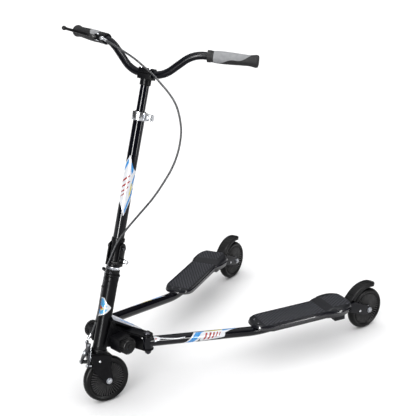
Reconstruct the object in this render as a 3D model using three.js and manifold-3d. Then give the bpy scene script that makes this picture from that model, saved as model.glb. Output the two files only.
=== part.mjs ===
// Three-wheel swing scooter: one steered front wheel, two swinging legs with a foot deck and a wheel each.
// Millimetres. +Z is up, the scooter faces -Y and the rider's left is +X.
// The origin is on the floor, under the middle of the whole scooter.
import * as THREE from 'three';
import { mergeVertices } from 'three/addons/utils/BufferGeometryUtils.js';
import Module from 'manifold-3d';

const wasm = await Module();
wasm.setup();

// ---- Driving dimensions ----
const DEG = Math.PI / 180;
const FIT = 0.3; // gap between pieces that touch
const SIDES = [['left', 1], ['right', -1]];

const WHEEL_R = 62.5;
const TYRE_HALF = 12; // half the tyre's width
const HUB_R = 47;
const BORE_R = 11; // the hub's seat for its bearings
const AXLE_R = 4;

const RAKE = 16.7 * DEG;
const AXIS_Y = -35; // where the steering axis crosses wheel-centre height
const FORK_TURN = -16 * DEG; // the wheel is turned to the rider's right
const LEAN_DROP = 0.5; // turned, the raked front wheel leans and sits this much lower
const BAR_TURN = 16 * DEG; // the column and bar are turned to the rider's left

// Heights along the steering axis, from wheel-centre height
const CROWN_Q = [76, 81];
const HEAD_TUBE_Q = [92.3, 283];
const LOCKNUT_Q = [301.8, 309.2];
const SOCKET_Q = [309.5, 372];
const FOLD_Q = 360;
const PULL_PIN_Q = 328;
const COLUMN_Q = [384.3, 703];
const CLAMP_Q = [684, 705];
const BAR_Q = 800;
const INNER_TUBE_Q = [555, BAR_Q - 15];

const HEAD_TUBE_R = 18;
const STEERER_R = 12.7;
const COLUMN_R = 14.3;
const COLUMN_BORE_R = 12.7;
const INNER_TUBE_R = 11.1;
const BAR_R = 9.5;
const GRIP_LENGTH = 122;
const GRIP_START = 34; // from the bar's upper bend to the grip
const GRIP_SWEEP = 20 * DEG;
const GRIP_RISE = 4 * DEG;
const BAR_BEND = { x: 118, q: 65 }; // the bar's upper bend, from its middle

const LEG_EYE = { x: 85, y: 82, z: 163 };
const LEG_TUBE_R = 13.5;
const REAR_WHEEL = { x: 270, y: 782 };
const REAR_TOE = 10 * DEG; // the rear wheels run along the splayed legs
const DECK_TIP = { x: 154, y: 402 };
const DECK_SPLAY = 20.5 * DEG;
const DECK_TOP = 117;
const DECK_LENGTH = 320;
const HEEL_RISE = 8;

// ---- Materials ----
const paint = { color: 0x15171c, roughness: 0.25, metalness: 0.3 };
const alloy = { color: 0xc9cbd0, roughness: 0.25, metalness: 1 };
const steel = { color: 0x8e9196, roughness: 0.35, metalness: 1 };
const blackPlastic = { color: 0x1c1d1f, roughness: 0.55, metalness: 0 };
const deckPlastic = { color: 0x3b3c41, roughness: 0.6, metalness: 0 };
const tyrePu = { color: 0x222324, roughness: 0.5, metalness: 0 };
const hubPlastic = { color: 0x303133, roughness: 0.5, metalness: 0 };
const gripRubber = { color: 0x8c8d91, roughness: 0.7, metalness: 0 };
const cableSkin = { color: 0x2b2c2e, roughness: 0.5, metalness: 0 };

// ---- Shape helpers ----
function outward(geometry) {
  // Turns every face over if the closed surface is inside out.
  const g = geometry.index ? geometry.toNonIndexed() : geometry;
  const p = g.attributes.position;
  const [a, b, c] = [new THREE.Vector3(), new THREE.Vector3(), new THREE.Vector3()];
  let volume = 0;
  for (let i = 0; i < p.count; i += 3) {
    a.fromBufferAttribute(p, i);
    b.fromBufferAttribute(p, i + 1);
    c.fromBufferAttribute(p, i + 2);
    volume += a.dot(b.cross(c));
  }
  if (volume >= 0) return g;
  for (let i = 0; i < p.count; i += 3) {
    b.fromBufferAttribute(p, i + 1);
    c.fromBufferAttribute(p, i + 2);
    p.setXYZ(i + 1, c.x, c.y, c.z);
    p.setXYZ(i + 2, b.x, b.y, b.z);
  }
  return g;
}

function lathe(profile, segments = 24) {
  // A round solid about +Z from [radius, height] points.
  const points = profile.map(([r, h]) => new THREE.Vector2(r, h));
  return outward(new THREE.LatheGeometry(points, segments).rotateX(Math.PI / 2));
}

function ring(inner, outer, z0, z1, segments = 16) {
  return lathe([[inner, z0], [outer, z0], [outer, z1], [inner, z1], [inner, z0]], segments);
}

function rod(radius, z0, z1, segments = 12) {
  return lathe([[0, z0], [radius, z0], [radius, z1], [0, z1]], segments);
}

function alongX(geometry) {
  return geometry.rotateY(Math.PI / 2);
}

function alongY(geometry) {
  return geometry.rotateX(-Math.PI / 2);
}

function box(x0, x1, y0, y1, z0, z1) {
  const g = new THREE.BoxGeometry(x1 - x0, y1 - y0, z1 - z0);
  return g.translate((x0 + x1) / 2, (y0 + y1) / 2, (z0 + z1) / 2);
}

function shapeOf(points) {
  return new THREE.Shape(points.map(([u, v]) => new THREE.Vector2(u, v)));
}

function plate(shape, z0, z1, curveSegments = 6) {
  const g = new THREE.ExtrudeGeometry(shape, { depth: z1 - z0, bevelEnabled: false, curveSegments });
  return outward(g.translate(0, 0, z0));
}

function sidePlate(shape, x0, x1, curveSegments = 6) {
  // A shape drawn in the side view, (y, z), with its thickness across X.
  const toSide = new THREE.Matrix4().set(0, 0, 1, x0, 1, 0, 0, 0, 0, 1, 0, 0, 0, 0, 0, 1);
  return plate(shape, 0, x1 - x0, curveSegments).applyMatrix4(toSide);
}

function arcBand(inner, outer, from, to) {
  const shape = new THREE.Shape();
  shape.absarc(0, 0, outer, from, to, false);
  shape.absarc(0, 0, inner, to, from, true);
  return shape;
}

function circleShape(radius, sides) {
  const angles = Array.from({ length: sides }, (_, i) => (2 * Math.PI * i) / sides);
  return shapeOf(angles.map((a) => [radius * Math.cos(a), radius * Math.sin(a)]));
}

function pipe(curve, radius, steps, sides) {
  const settings = { extrudePath: curve, steps, bevelEnabled: false };
  return outward(new THREE.ExtrudeGeometry(circleShape(radius, sides), settings));
}

function filletPath(points, fillet) {
  // Straight runs through the points, with each corner rounded off over the given length.
  const path = new THREE.CurvePath();
  let start = points[0];
  for (let i = 1; i < points.length - 1; i += 1) {
    const corner = points[i];
    const before = corner.clone().add(points[i - 1].clone().sub(corner).setLength(fillet));
    const after = corner.clone().add(points[i + 1].clone().sub(corner).setLength(fillet));
    path.add(new THREE.LineCurve3(start, before));
    path.add(new THREE.QuadraticBezierCurve3(before, corner, after));
    start = after;
  }
  path.add(new THREE.LineCurve3(start, points[points.length - 1]));
  return path;
}

function solid(geometry) {
  const g = geometry.clone();
  for (const name of Object.keys(g.attributes)) if (name !== 'position') g.deleteAttribute(name);
  const merged = mergeVertices(g, 1e-4);
  return new wasm.Manifold(new wasm.Mesh({
    numProp: 3,
    vertProperties: new Float32Array(merged.attributes.position.array),
    triVerts: new Uint32Array(merged.index.array),
  }));
}

function carve(joined, cut = []) {
  // Joins the first list of geometries and cuts away the second.
  let body = solid(joined[0]);
  for (const g of joined.slice(1)) body = body.add(solid(g));
  for (const g of cut) body = body.subtract(solid(g));
  const mesh = body.getMesh();
  const g = new THREE.BufferGeometry();
  g.setAttribute('position', new THREE.BufferAttribute(mesh.vertProperties, 3));
  g.setIndex(new THREE.BufferAttribute(mesh.triVerts, 1));
  return g;
}

// ---- Frames: groups that hold the pieces ----
const scooter = new THREE.Group();
const axis = new THREE.Group(); // +Z runs up the steering axis
axis.position.set(0, AXIS_Y, WHEEL_R - LEAN_DROP);
axis.rotation.x = -RAKE;
const fork = new THREE.Group();
fork.rotation.z = FORK_TURN;
const column = new THREE.Group();
column.rotation.z = BAR_TURN;
axis.add(fork, column);
scooter.add(axis);
scooter.updateMatrixWorld(true);

function add(parent, name, geometry, look) {
  geometry.computeVertexNormals();
  const mesh = new THREE.Mesh(geometry, new THREE.MeshStandardMaterial(look));
  mesh.name = name;
  parent.add(mesh);
  return mesh;
}

// ---- Frame: head tube, gusset and leg brackets ----
const KNOB = { y: 27, z: 168, inner: 63, outer: 81, r: 22 };

function bracketPlate(side, z0, z1, rearY) {
  // Holds one end of a leg's pivot bolt: a tongue with a round end about the bolt.
  const { x, y } = LEG_EYE;
  const shape = new THREE.Shape();
  shape.moveTo(side * 20, 52);
  shape.lineTo(side * x, y - 17);
  shape.absarc(side * x, y, 17, -90 * DEG, side > 0 ? 90 * DEG : -270 * DEG, side < 0);
  shape.lineTo(side * 20, rearY);
  return plate(shape, z0, z1);
}

function buildFrame() {
  const steeringAxis = axis.matrixWorld;
  const headTube = rod(HEAD_TUBE_R, ...HEAD_TUBE_Q, 20).applyMatrix4(steeringAxis);
  const bore = rod(STEERER_R + 2.4, HEAD_TUBE_Q[0] - 40, HEAD_TUBE_Q[1] + 5, 20).applyMatrix4(steeringAxis);
  const gussetOutline = [[-12, 164], [14, 226], [22, 228], [132, 151], [134, 140], [60, 140], [18, 152]];
  const gusset = sidePlate(shapeOf(gussetOutline), -28, 28);
  const hollow = sidePlate(shapeOf([[20, 146], [24, 212], [122, 150], [122, 132], [60, 132]]), -25, 25);
  const solids = [headTube, gusset];
  const cuts = [hollow, bore];
  for (const [, side] of SIDES) {
    const { x, y, z } = LEG_EYE;
    solids.push(bracketPlate(side, z - 22.9, z - 18.4, 108), bracketPlate(side, z + 18.4, z + 22.9, 84));
    solids.push(box(...[side * 25.5, side * (KNOB.inner - FIT)].sort((a, b) => a - b), 6, 46, 150, 188));
    cuts.push(rod(6.3, z - 40, z + 40).translate(side * x, y, 0));
    cuts.push(alongX(rod(5.3, -12, 12)).translate(side * (KNOB.inner - 8), KNOB.y, KNOB.z));
    const recess = sidePlate(shapeOf([[44, 196], [52, 198], [116, 153], [92, 153]]), 27, 29);
    cuts.push(side > 0 ? recess : outward(recess.clone().scale(-1, 1, 1)));
  }
  return carve(solids, cuts);
}

add(scooter, 'frame_weldment', buildFrame(), paint);
add(axis, 'headset_cup_lower', ring(STEERER_R + 0.4, 20.5, 82.6, HEAD_TUBE_Q[0] - FIT), paint);
add(axis, 'headset_cup_upper', ring(STEERER_R + 0.4, 20.5, HEAD_TUBE_Q[1] + FIT, 291.2), paint);

for (const [label, side] of SIDES) {
  const { x, y, z } = LEG_EYE;
  const top = z + 22.9 + FIT;
  const bottom = z - 22.9 - FIT;
  const bolt = lathe([
    [0, bottom - 11], [6, bottom - 11], [6, bottom - 8], [10, bottom - 8], [10, bottom], [6, bottom],
    [6, top], [10, top], [10, top + 4], [7, top + 6], [0, top + 6],
  ], 12);
  add(scooter, `leg_pivot_bolt_${label}`, bolt.translate(side * x, y, 0), steel);

  const rim = Array.from({ length: 24 }, (_, i) => {
    const r = i % 2 ? KNOB.r : KNOB.r - 1.6;
    return [r * Math.cos(i * 15 * DEG), r * Math.sin(i * 15 * DEG)];
  });
  const disc = plate(shapeOf(rim), KNOB.inner, KNOB.outer - 3);
  const face = rod(KNOB.r - 4, KNOB.outer - 4, KNOB.outer);
  const knob = carve([disc, face, rod(5, KNOB.inner - 18, KNOB.inner + 1)]);
  alongX(knob);
  if (side < 0) knob.rotateZ(Math.PI);
  add(scooter, `leg_knob_${label}`, knob.translate(0, KNOB.y, KNOB.z), blackPlastic);
}

// ---- Fork and what stands on the steerer ----
const FRONT_WHEEL = { y: -AXIS_Y * Math.cos(RAKE), q: -AXIS_Y * Math.sin(RAKE) };
const FORK_LEG_X = [17.2, 21.2];
const CALLIPER_Q = 78.5;

function buildFork() {
  const { y, q } = FRONT_WHEEL;
  const leg = new THREE.Shape();
  leg.moveTo(-25, CROWN_Q[1]);
  leg.lineTo(-23, 58);
  leg.lineTo(-14, 34);
  leg.absarc(y, q, 12, 215 * DEG, 380 * DEG, false);
  leg.lineTo(29, 52);
  leg.lineTo(29, CROWN_Q[1]);
  const steerer = ring(10.2, STEERER_R, CROWN_Q[0], 312);
  const crown = box(-FORK_LEG_X[1], FORK_LEG_X[1], -25, 29, ...CROWN_Q);
  const race = ring(10.2, 17, CROWN_Q[1] - 1, 82.2);
  const brakeBoss = box(-8, 8, -28.5, -21.5, 70, 87);
  const legs = [sidePlate(leg, ...FORK_LEG_X), sidePlate(leg, -FORK_LEG_X[1], -FORK_LEG_X[0])];
  const cuts = [rod(10.2, 60, 90, 20), alongX(rod(AXLE_R + 0.3, -40, 40)).translate(0, y, q)];
  cuts.push(alongY(rod(3.3, -35, -20.5, 12)).translate(0, 0, CALLIPER_Q));
  return carve([crown, steerer, race, brakeBoss, ...legs], cuts);
}

add(fork, 'fork', buildFork(), paint);
add(fork, 'steering_clamp_ring', carve(
  [ring(STEERER_R + 0.3, 18, 291.5, 301.5), alongX(rod(3.5, -24, 24, 12)).translate(0, -16, 296.5)],
  [rod(STEERER_R + 0.3, 280, 310)],
), blackPlastic);
add(column, 'headset_locknut', ring(STEERER_R + 0.3, 16, ...LOCKNUT_Q), alloy);

function wheelParts(parent, label, boltHalf) {
  // A tyre on a ribbed hub that turns on two bearings, about the parent's X axis.
  const tyre = lathe([
    [HUB_R + FIT, -9], [HUB_R + 8, -TYRE_HALF], [WHEEL_R - 3, -9], [WHEEL_R, 0], [WHEEL_R - 3, 9],
    [HUB_R + 8, TYRE_HALF], [HUB_R + FIT, 9], [HUB_R + FIT, -9],
  ], 28);
  const hub = lathe([
    [BORE_R + FIT, -13], [17, -13], [20, -7.5], [HUB_R - 0.3, -9], [HUB_R - 0.3, 9], [20, 7.5],
    [17, 13], [BORE_R + FIT, 13], [BORE_R + FIT, -13],
  ], 20);
  const bearings = lathe([
    [AXLE_R + 0.2, -13], [BORE_R, -13], [BORE_R, -6], [6.5, -6], [6.5, 6], [BORE_R, 6], [BORE_R, 13],
    [AXLE_R + 0.2, 13], [AXLE_R + 0.2, -13],
  ], 12);
  add(parent, `${label}_tyre`, alongX(tyre), tyrePu);
  add(parent, `${label}_hub`, alongX(hub), hubPlastic);
  add(parent, `${label}_bearings`, alongX(bearings), steel);
  const axle = lathe([
    [0, -boltHalf - 5], [6.5, -boltHalf - 5], [6.5, -boltHalf], [AXLE_R, -boltHalf], [AXLE_R, boltHalf],
    [7, boltHalf], [7, boltHalf + 4], [4, boltHalf + 6], [0, boltHalf + 6],
  ], 10);
  return alongX(axle);
}

const frontWheel = new THREE.Group();
frontWheel.position.set(0, FRONT_WHEEL.y, FRONT_WHEEL.q);
fork.add(frontWheel);
add(frontWheel, 'front_axle_bolt', wheelParts(frontWheel, 'front', FORK_LEG_X[1] + FIT), alloy);

// ---- Fold socket, pull pin and column ----
const CHEEK_X = 15.4;
const CHEEK_R = 13;

function buildSocket() {
  const body = rod(20, ...SOCKET_Q, 20);
  const boss = alongX(rod(6.5, 17, 27)).translate(0, 0, PULL_PIN_Q);
  // The cheeks' tops are round about the fold bolt, so that the column's shoulder clears them.
  const aboveCheeks = new THREE.Shape();
  aboveCheeks.moveTo(-30, FOLD_Q);
  aboveCheeks.lineTo(-CHEEK_R, FOLD_Q);
  aboveCheeks.absarc(0, FOLD_Q, CHEEK_R, 180 * DEG, 0, true);
  aboveCheeks.lineTo(30, FOLD_Q);
  aboveCheeks.lineTo(30, 400);
  aboveCheeks.lineTo(-30, 400);
  const cuts = [
    sidePlate(aboveCheeks, -30, 30),
    box(-CHEEK_X, CHEEK_X, -30, 30, 318, 400),
    rod(STEERER_R + 0.3, 300, 312.4, 20),
    alongX(rod(4.2, -30, 30)).translate(0, 0, FOLD_Q),
    alongX(rod(3.3, 0, 30)).translate(0, 0, PULL_PIN_Q),
    alongX(rod(4.9, 19, 30)).translate(0, 0, PULL_PIN_Q),
  ];
  return carve([body, boss], cuts);
}

add(column, 'fold_socket', buildSocket(), paint);
const foldBolt = lathe([
  [0, -25], [6, -25], [6, -20.3], [4, -20.3], [4, 20.3], [6, 20.3], [6, 25], [0, 25],
], 12);
add(column, 'fold_pivot_bolt', alongX(foldBolt).translate(0, 0, FOLD_Q), steel);
const pin = lathe([
  [0, 10], [3, 10], [3, 27.4], [5.4, 27.4], [5.4, 30], [4.2, 32], [5.2, 35], [4, 38], [0, 38.6],
], 12);
add(column, 'pull_pin', alongX(pin).translate(0, 0, PULL_PIN_Q), alloy);
const pinSpring = alongX(ring(3.3, 4.6, 19.4, 26.6, 12)).translate(0, 0, PULL_PIN_Q);
add(column, 'pull_pin_spring', pinSpring, steel);

// An arc slot about the fold bolt takes the pin's tip as the column swings down behind it.
const PIN_SLOT = { inner: FOLD_Q - PULL_PIN_Q - 3.5, outer: FOLD_Q - PULL_PIN_Q + 3.5 };
const pinSlot = sidePlate(arcBand(PIN_SLOT.inner, PIN_SLOT.outer, -97 * DEG, -50 * DEG), 8, 20, 5);
const shoe = carve([
  rod(15, 322.6, 374.6), rod(17, 374.5, COLUMN_Q[0] - FIT), rod(COLUMN_BORE_R - 0.4, 380, 402),
], [alongX(rod(4.2, -30, 30)).translate(0, 0, FOLD_Q), pinSlot.translate(0, 0, FOLD_Q)]);
add(column, 'column_shoe', shoe, paint);
add(column, 'column_tube', ring(COLUMN_BORE_R, COLUMN_R, ...COLUMN_Q), paint);

// ---- Quick-release clamp at the top of the column ----
const CLAMP_MIDDLE_Q = (CLAMP_Q[0] + CLAMP_Q[1]) / 2;
const CLAMP_BOLT_X = 27;
const CLAMP_CAM_Y = 14; // the cam lever's hinge, behind the collar's ears
const clampBody = carve([
  ring(COLUMN_R + 0.5, 19, ...CLAMP_Q), box(16, 35, -8, 8, CLAMP_Q[0] + 2, CLAMP_Q[1] - 2),
], [
  rod(COLUMN_R + 0.5, 680, 720, 20), box(5, 40, -1.2, 1.2, 680, 720),
  alongY(rod(3.4, -20, 20)).translate(CLAMP_BOLT_X, 0, CLAMP_MIDDLE_Q),
]);
add(column, 'clamp_collar', clampBody, alloy);
const clampBolt = lathe([[0, -14], [6, -14], [6, -8.4], [3, -8.4], [3, 8.2], [0, 8.2]], 12);
add(column, 'clamp_bolt', alongY(clampBolt).translate(CLAMP_BOLT_X, 0, CLAMP_MIDDLE_Q), steel);
const bladeOutline = shapeOf([
  [CLAMP_BOLT_X, CLAMP_CAM_Y + 5.5], [14, 24.5], [-28, 25.5], [-33, 23], [-30, 20.8], [8, 20.5], [22, 13],
]);
const camLever = carve([
  rod(5.5, CLAMP_MIDDLE_Q - 7, CLAMP_MIDDLE_Q + 7).translate(CLAMP_BOLT_X, CLAMP_CAM_Y, 0),
  plate(bladeOutline, CLAMP_MIDDLE_Q - 5, CLAMP_MIDDLE_Q + 5),
]);
add(column, 'clamp_lever', camLever, alloy);
const sleeve = ring(INNER_TUBE_R + 0.3, COLUMN_BORE_R - 0.35, 636, CLAMP_Q[1] + 2);
add(column, 'telescope_sleeve', sleeve, blackPlastic);

// ---- Stem, handlebar and grips ----
add(column, 'inner_tube', ring(9.3, INNER_TUBE_R, ...INNER_TUBE_Q), paint);
const barHole = alongX(rod(BAR_R + FIT, -30, 30, 20)).translate(0, 0, BAR_Q);
const stem = carve([
  rod(14, BAR_Q - 28, BAR_Q - 13), box(-19, 19, -13, 13, BAR_Q - 14.7, BAR_Q - 0.8),
], [barHole, rod(INNER_TUBE_R + 0.5, BAR_Q - 40, INNER_TUBE_Q[1] + FIT)]);
add(column, 'stem', stem, paint);
const cap = carve([box(-19, 19, -13, 13, BAR_Q + 0.8, BAR_Q + 14)], [barHole]);
add(column, 'stem_cap', cap, paint);

function gripDirection(side) {
  return new THREE.Vector3(
    side * Math.cos(GRIP_SWEEP) * Math.cos(GRIP_RISE),
    Math.sin(GRIP_SWEEP) * Math.cos(GRIP_RISE),
    Math.sin(GRIP_RISE),
  );
}

function gripFrame(side) {
  // At the bar's upper bend, with +Z out along the grip and +Y towards the rider.
  const frame = new THREE.Group();
  frame.position.set(side * BAR_BEND.x, 0, BAR_Q + BAR_BEND.q);
  const out = gripDirection(side);
  const back = new THREE.Vector3(0, 0, 1).cross(out).setLength(side);
  frame.quaternion.setFromRotationMatrix(new THREE.Matrix4().makeBasis(back.clone().cross(out), back, out));
  column.add(frame);
  frame.updateMatrixWorld(true);
  return frame;
}

function barPath() {
  const bend = new THREE.Vector3(BAR_BEND.x, 0, BAR_BEND.q);
  const tip = bend.clone().add(gripDirection(1).multiplyScalar(GRIP_START + GRIP_LENGTH - 4));
  const half = [new THREE.Vector3(45, 0, 0), bend, tip];
  const far = half.map((p) => new THREE.Vector3(-p.x, p.y, p.z)).reverse();
  return filletPath([...far, ...half], 18);
}

add(column, 'handlebar', pipe(barPath(), BAR_R, 30, 10).translate(0, 0, BAR_Q), paint);
const gripProfile = [
  [0, GRIP_LENGTH - 2.5], [BAR_R + 0.5, GRIP_LENGTH - 2.5], [BAR_R + 0.5, 0], [15.5, 0], [15.5, 7], [13, 9],
  [14.5, 40], [13, 100], [16.5, 116], [16, GRIP_LENGTH + 2], [0, GRIP_LENGTH + 2],
];
const gripFrames = {};
for (const [label, side] of SIDES) {
  gripFrames[label] = gripFrame(side);
  const grip = lathe(gripProfile, 14).translate(0, 0, GRIP_START);
  add(gripFrames[label], `grip_${label}`, grip, gripRubber);
}

// ---- Front brake: a side-pull calliper on the fork crown ----
const calliperBolt = lathe([[0, -43], [6, -43], [6, -38.3], [3, -38.3], [3, -22], [0, -22]], 12);
add(fork, 'calliper_bolt', alongY(calliperBolt).translate(0, 0, CALLIPER_Q), steel);
const LAYER = { left: [-33, -28.9], right: [-37.4, -33.3] };
for (const [label, side] of SIDES) {
  // Each arm crosses over the bolt: its pad is on its own side and its cable end is on the other.
  const shape = new THREE.Shape();
  shape.moveTo(side * 11, 43);
  shape.lineTo(side * 19.5, 43);
  shape.lineTo(side * 21, 58);
  shape.lineTo(side * 8, 84);
  shape.lineTo(side * -8, 108);
  shape.lineTo(side * -17, 108);
  shape.lineTo(side * -7, 74);
  shape.lineTo(side * 12, 55);
  const [front, back] = LAYER[label];
  // The shape is drawn in (x, q) and its thickness runs along the arm's own Y.
  const arm = plate(shape, -back, -front).rotateX(Math.PI / 2);
  const bore = alongY(rod(3.3, -50, -20, 12)).translate(0, 0, CALLIPER_Q);
  add(fork, `calliper_arm_${label}`, carve([arm], [bore]), alloy);
  const padFace = [side * 14.3, side * 17].sort((a, b) => a - b);
  add(fork, `brake_pad_${label}`, box(...padFace, back + FIT, -6, 44, 54), blackPlastic);
}

// ---- Brake lever on the right grip ----
const leverFrame = gripFrames.right;
const LEVER_PIVOT = { y: -25, z: 27 };
const bracketBody = carve([
  rod(14.5, 19, 33.5), box(-7, 7, -33, -10, 19, 33.5),
], [
  rod(BAR_R + 0.5, 0, 40), box(-3.2, 3.2, -40, -17, 22, 40),
  alongX(rod(3.2, -10, 10, 12)).translate(0, LEVER_PIVOT.y, LEVER_PIVOT.z),
]);
add(leverFrame, 'brake_lever_bracket', bracketBody, blackPlastic);
const leverPin = lathe([[0, -9], [5, -9], [5, -7.3], [3, -7.3], [3, 8], [0, 8]], 12);
add(leverFrame, 'brake_lever_pin', alongX(leverPin).translate(0, LEVER_PIVOT.y, LEVER_PIVOT.z), steel);
const adjuster = lathe([[0, 3], [4.5, 4], [4.5, 13], [3.2, 13], [3.2, 18.7], [0, 18.7]], 12);
add(leverFrame, 'barrel_adjuster', adjuster.translate(0, LEVER_PIVOT.y, 0), alloy);
const bladeShape = new THREE.Shape();
bladeShape.moveTo(-20, 23);
bladeShape.quadraticCurveTo(-28, 21.5, -33, 27);
bladeShape.quadraticCurveTo(-46, 40, -48, 64);
bladeShape.quadraticCurveTo(-50, 100, -47.5, 150);
bladeShape.lineTo(-41, 150);
bladeShape.quadraticCurveTo(-43, 100, -41, 66);
bladeShape.quadraticCurveTo(-37, 44, -20, 34);
const blade = sidePlate(bladeShape, -2.8, 2.8, 4);
const ball = new THREE.SphereGeometry(5, 10, 6).translate(0, -44.5, 152);
const leverBore = alongX(rod(3.3, -10, 10)).translate(0, LEVER_PIVOT.y, LEVER_PIVOT.z);
const lever = carve([blade, ball], [leverBore]);
add(leverFrame, 'brake_lever', lever, blackPlastic);

// ---- Brake cable: one housing from the barrel adjuster to the calliper, in four lengths ----
class Stretch extends THREE.Curve {
  // The part of a longer curve between two fractions of its length.
  constructor(curve, from, to) {
    super();
    Object.assign(this, { curve, from, to });
  }

  getPoint(t) {
    return this.curve.getPointAt(this.from + (this.to - this.from) * t);
  }
}

const CABLE_R = 2.5;
const CABLE_ROUTE = [
  [-129, -22.6, 865.2], [-101, -27, 857], [-62, -24, 843], [-28, -23, 830], [4, -22, 814], [30, -22, 801],
  [53, -22, 785], [80, -22, 766], [104, -22, 744], [121, -22, 717], [134, -22, 680], [136, -22, 636],
  [128, -22, 592], [111, -22, 549], [89, -22, 505], [63, -22, 464], [38, -22, 425], [14, -24, 380],
  [4, -25, 345], [-3, -26, 310], [-6, -26, 258], [-6, -26, 190], [-11, -27, 145], [-20, -29, 116],
];
const CABLE_SPLITS = [0, 12, 15, 19, 23]; // the route's points where one length meets the next
const CABLE_STEPS = [20, 6, 8, 10];
const CABLE_NAMES = ['cable_at_bar', 'cable_loop', 'cable_at_fold', 'cable_at_fork'];

const route = new THREE.CatmullRomCurve3(CABLE_ROUTE.map((p) => new THREE.Vector3(...p)));
route.arcLengthDivisions = 1000;
const lengths = route.getLengths();
const routeLength = lengths[lengths.length - 1];
const fractionAt = (i) => lengths[Math.round((i / (CABLE_ROUTE.length - 1)) * 1000)] / routeLength;
CABLE_NAMES.forEach((name, i) => {
  const half = FIT / 2 / routeLength;
  const from = fractionAt(CABLE_SPLITS[i]) + half;
  const to = fractionAt(CABLE_SPLITS[i + 1]) - half;
  add(column, name, pipe(new Stretch(route, from, to), CABLE_R, CABLE_STEPS[i], 6), cableSkin);
});

// ---- Legs: pivot eye, bent tube and wheel fork in one weldment ----
const LEG_EYE_HEIGHT = 36;
const WHEEL_FORK = { cross: [-79, -74], low: 14, high: 42 };

function wheelForkParts() {
  // About the wheel's centre: a cross plate in front of the tyre and a plate down each side to the axle.
  const { cross, low, high } = WHEEL_FORK;
  const side = new THREE.Shape();
  side.moveTo(cross[0], low);
  side.absarc(0, 0, 11, -100 * DEG, 80 * DEG, false);
  side.lineTo(-58, high);
  side.lineTo(cross[0], high);
  const [inner, outer] = FORK_LEG_X;
  return [
    box(-outer, outer, ...cross, low, high), sidePlate(side, inner, outer), sidePlate(side, -outer, -inner),
  ];
}

for (const [label, side] of SIDES) {
  const wheel = new THREE.Group();
  wheel.position.set(side * REAR_WHEEL.x, REAR_WHEEL.y, WHEEL_R);
  wheel.rotation.z = -side * REAR_TOE;
  scooter.add(wheel);
  wheel.updateMatrixWorld(true);
  const deck = new THREE.Group();
  deck.position.set(side * DECK_TIP.x, DECK_TIP.y, 0);
  deck.rotation.z = -side * DECK_SPLAY;
  scooter.add(deck);
  deck.updateMatrixWorld(true);

  const { x, y, z } = LEG_EYE;
  const crossPlate = new THREE.Vector3(0, WHEEL_FORK.cross[0] + 2, 27).applyMatrix4(wheel.matrixWorld);
  const legPath = filletPath([
    new THREE.Vector3(side * x, y, z), new THREE.Vector3(side * 165, 412, 92.5),
    new THREE.Vector3(side * 186, 485, 91), crossPlate,
  ], 25);
  const eye = rod(13.5, z - LEG_EYE_HEIGHT / 2, z + LEG_EYE_HEIGHT / 2, 20).translate(side * x, y, 0);
  const eyeBore = rod(6.3, z - 30, z + 30).translate(side * x, y, 0);
  const heelTab = box(-32, 32, 268, 292, 92, DECK_TOP - 7 - FIT).applyMatrix4(deck.matrixWorld);
  const forkPlates = wheelForkParts().map((g) => g.applyMatrix4(wheel.matrixWorld));
  const axleHole = alongX(rod(AXLE_R + 0.3, -40, 40)).applyMatrix4(wheel.matrixWorld);
  const tyreRoom = alongX(rod(WHEEL_R + 4, -17, 17, 20)).applyMatrix4(wheel.matrixWorld);
  const legPieces = [eye, pipe(legPath, LEG_TUBE_R, 13, 10), heelTab, ...forkPlates];
  add(scooter, `leg_${label}`, carve(legPieces, [eyeBore, axleHole, tyreRoom]), paint);

  add(deck, `deck_${label}`, buildDeck(side), deckPlastic);
  add(deck, `deck_screws_${label}`, buildDeckScrews(), steel);
  add(wheel, `rear_mudguard_${label}`, buildMudguard(), blackPlastic);
  add(wheel, `rear_${label}_axle_bolt`, wheelParts(wheel, `rear_${label}`, FORK_LEG_X[1] + FIT), alloy);
}

// ---- Foot decks ----
function deckOutline(side, inset) {
  // Round at the toe, with a broader heel that bulges most on the inner side.
  const outer = side * (42 - inset);
  const inner = side * (-42 + inset);
  const shape = new THREE.Shape();
  const end = DECK_LENGTH - inset;
  shape.moveTo(outer, 52);
  shape.lineTo(outer, 222);
  shape.quadraticCurveTo(side * (49 - inset), 240, side * (49 - inset), 265);
  shape.quadraticCurveTo(side * (46 - inset), end, side * 4, end);
  shape.quadraticCurveTo(side * (-58 + inset), end, side * (-58 + inset), 268);
  shape.quadraticCurveTo(side * (-56 + inset), 232, inner, 215);
  shape.lineTo(inner, 52);
  shape.quadraticCurveTo(inner, inset, 0, inset);
  shape.quadraticCurveTo(outer, inset, outer, 52);
  return shape;
}

function buildDeck(side) {
  const sheet = plate(deckOutline(side, 0), DECK_TOP - 7, DECK_TOP, 5);
  const skirt = [38, -42].map((x0) => box(x0, x0 + 4, 55, 215, DECK_TOP - 19, DECK_TOP - 6.5));
  const ramp = shapeOf([
    [218, DECK_TOP - 0.5], [244, DECK_TOP + HEEL_RISE], [302, DECK_TOP + HEEL_RISE], [316, DECK_TOP - 0.5],
  ]);
  const rampBlock = solid(sidePlate(ramp, -70, 70));
  const heelArea = solid(plate(deckOutline(side, 3), DECK_TOP - 2, DECK_TOP + 20, 5));
  const heel = rampBlock.intersect(heelArea).getMesh();
  const heelGeometry = new THREE.BufferGeometry();
  heelGeometry.setAttribute('position', new THREE.BufferAttribute(heel.vertProperties, 3));
  heelGeometry.setIndex(new THREE.BufferAttribute(heel.triVerts, 1));
  const holes = [-13, 13].map((x0) => rod(3, 90, 130, 12).translate(x0, 18, 0));
  return carve([sheet, ...skirt, heelGeometry], holes);
}

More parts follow.
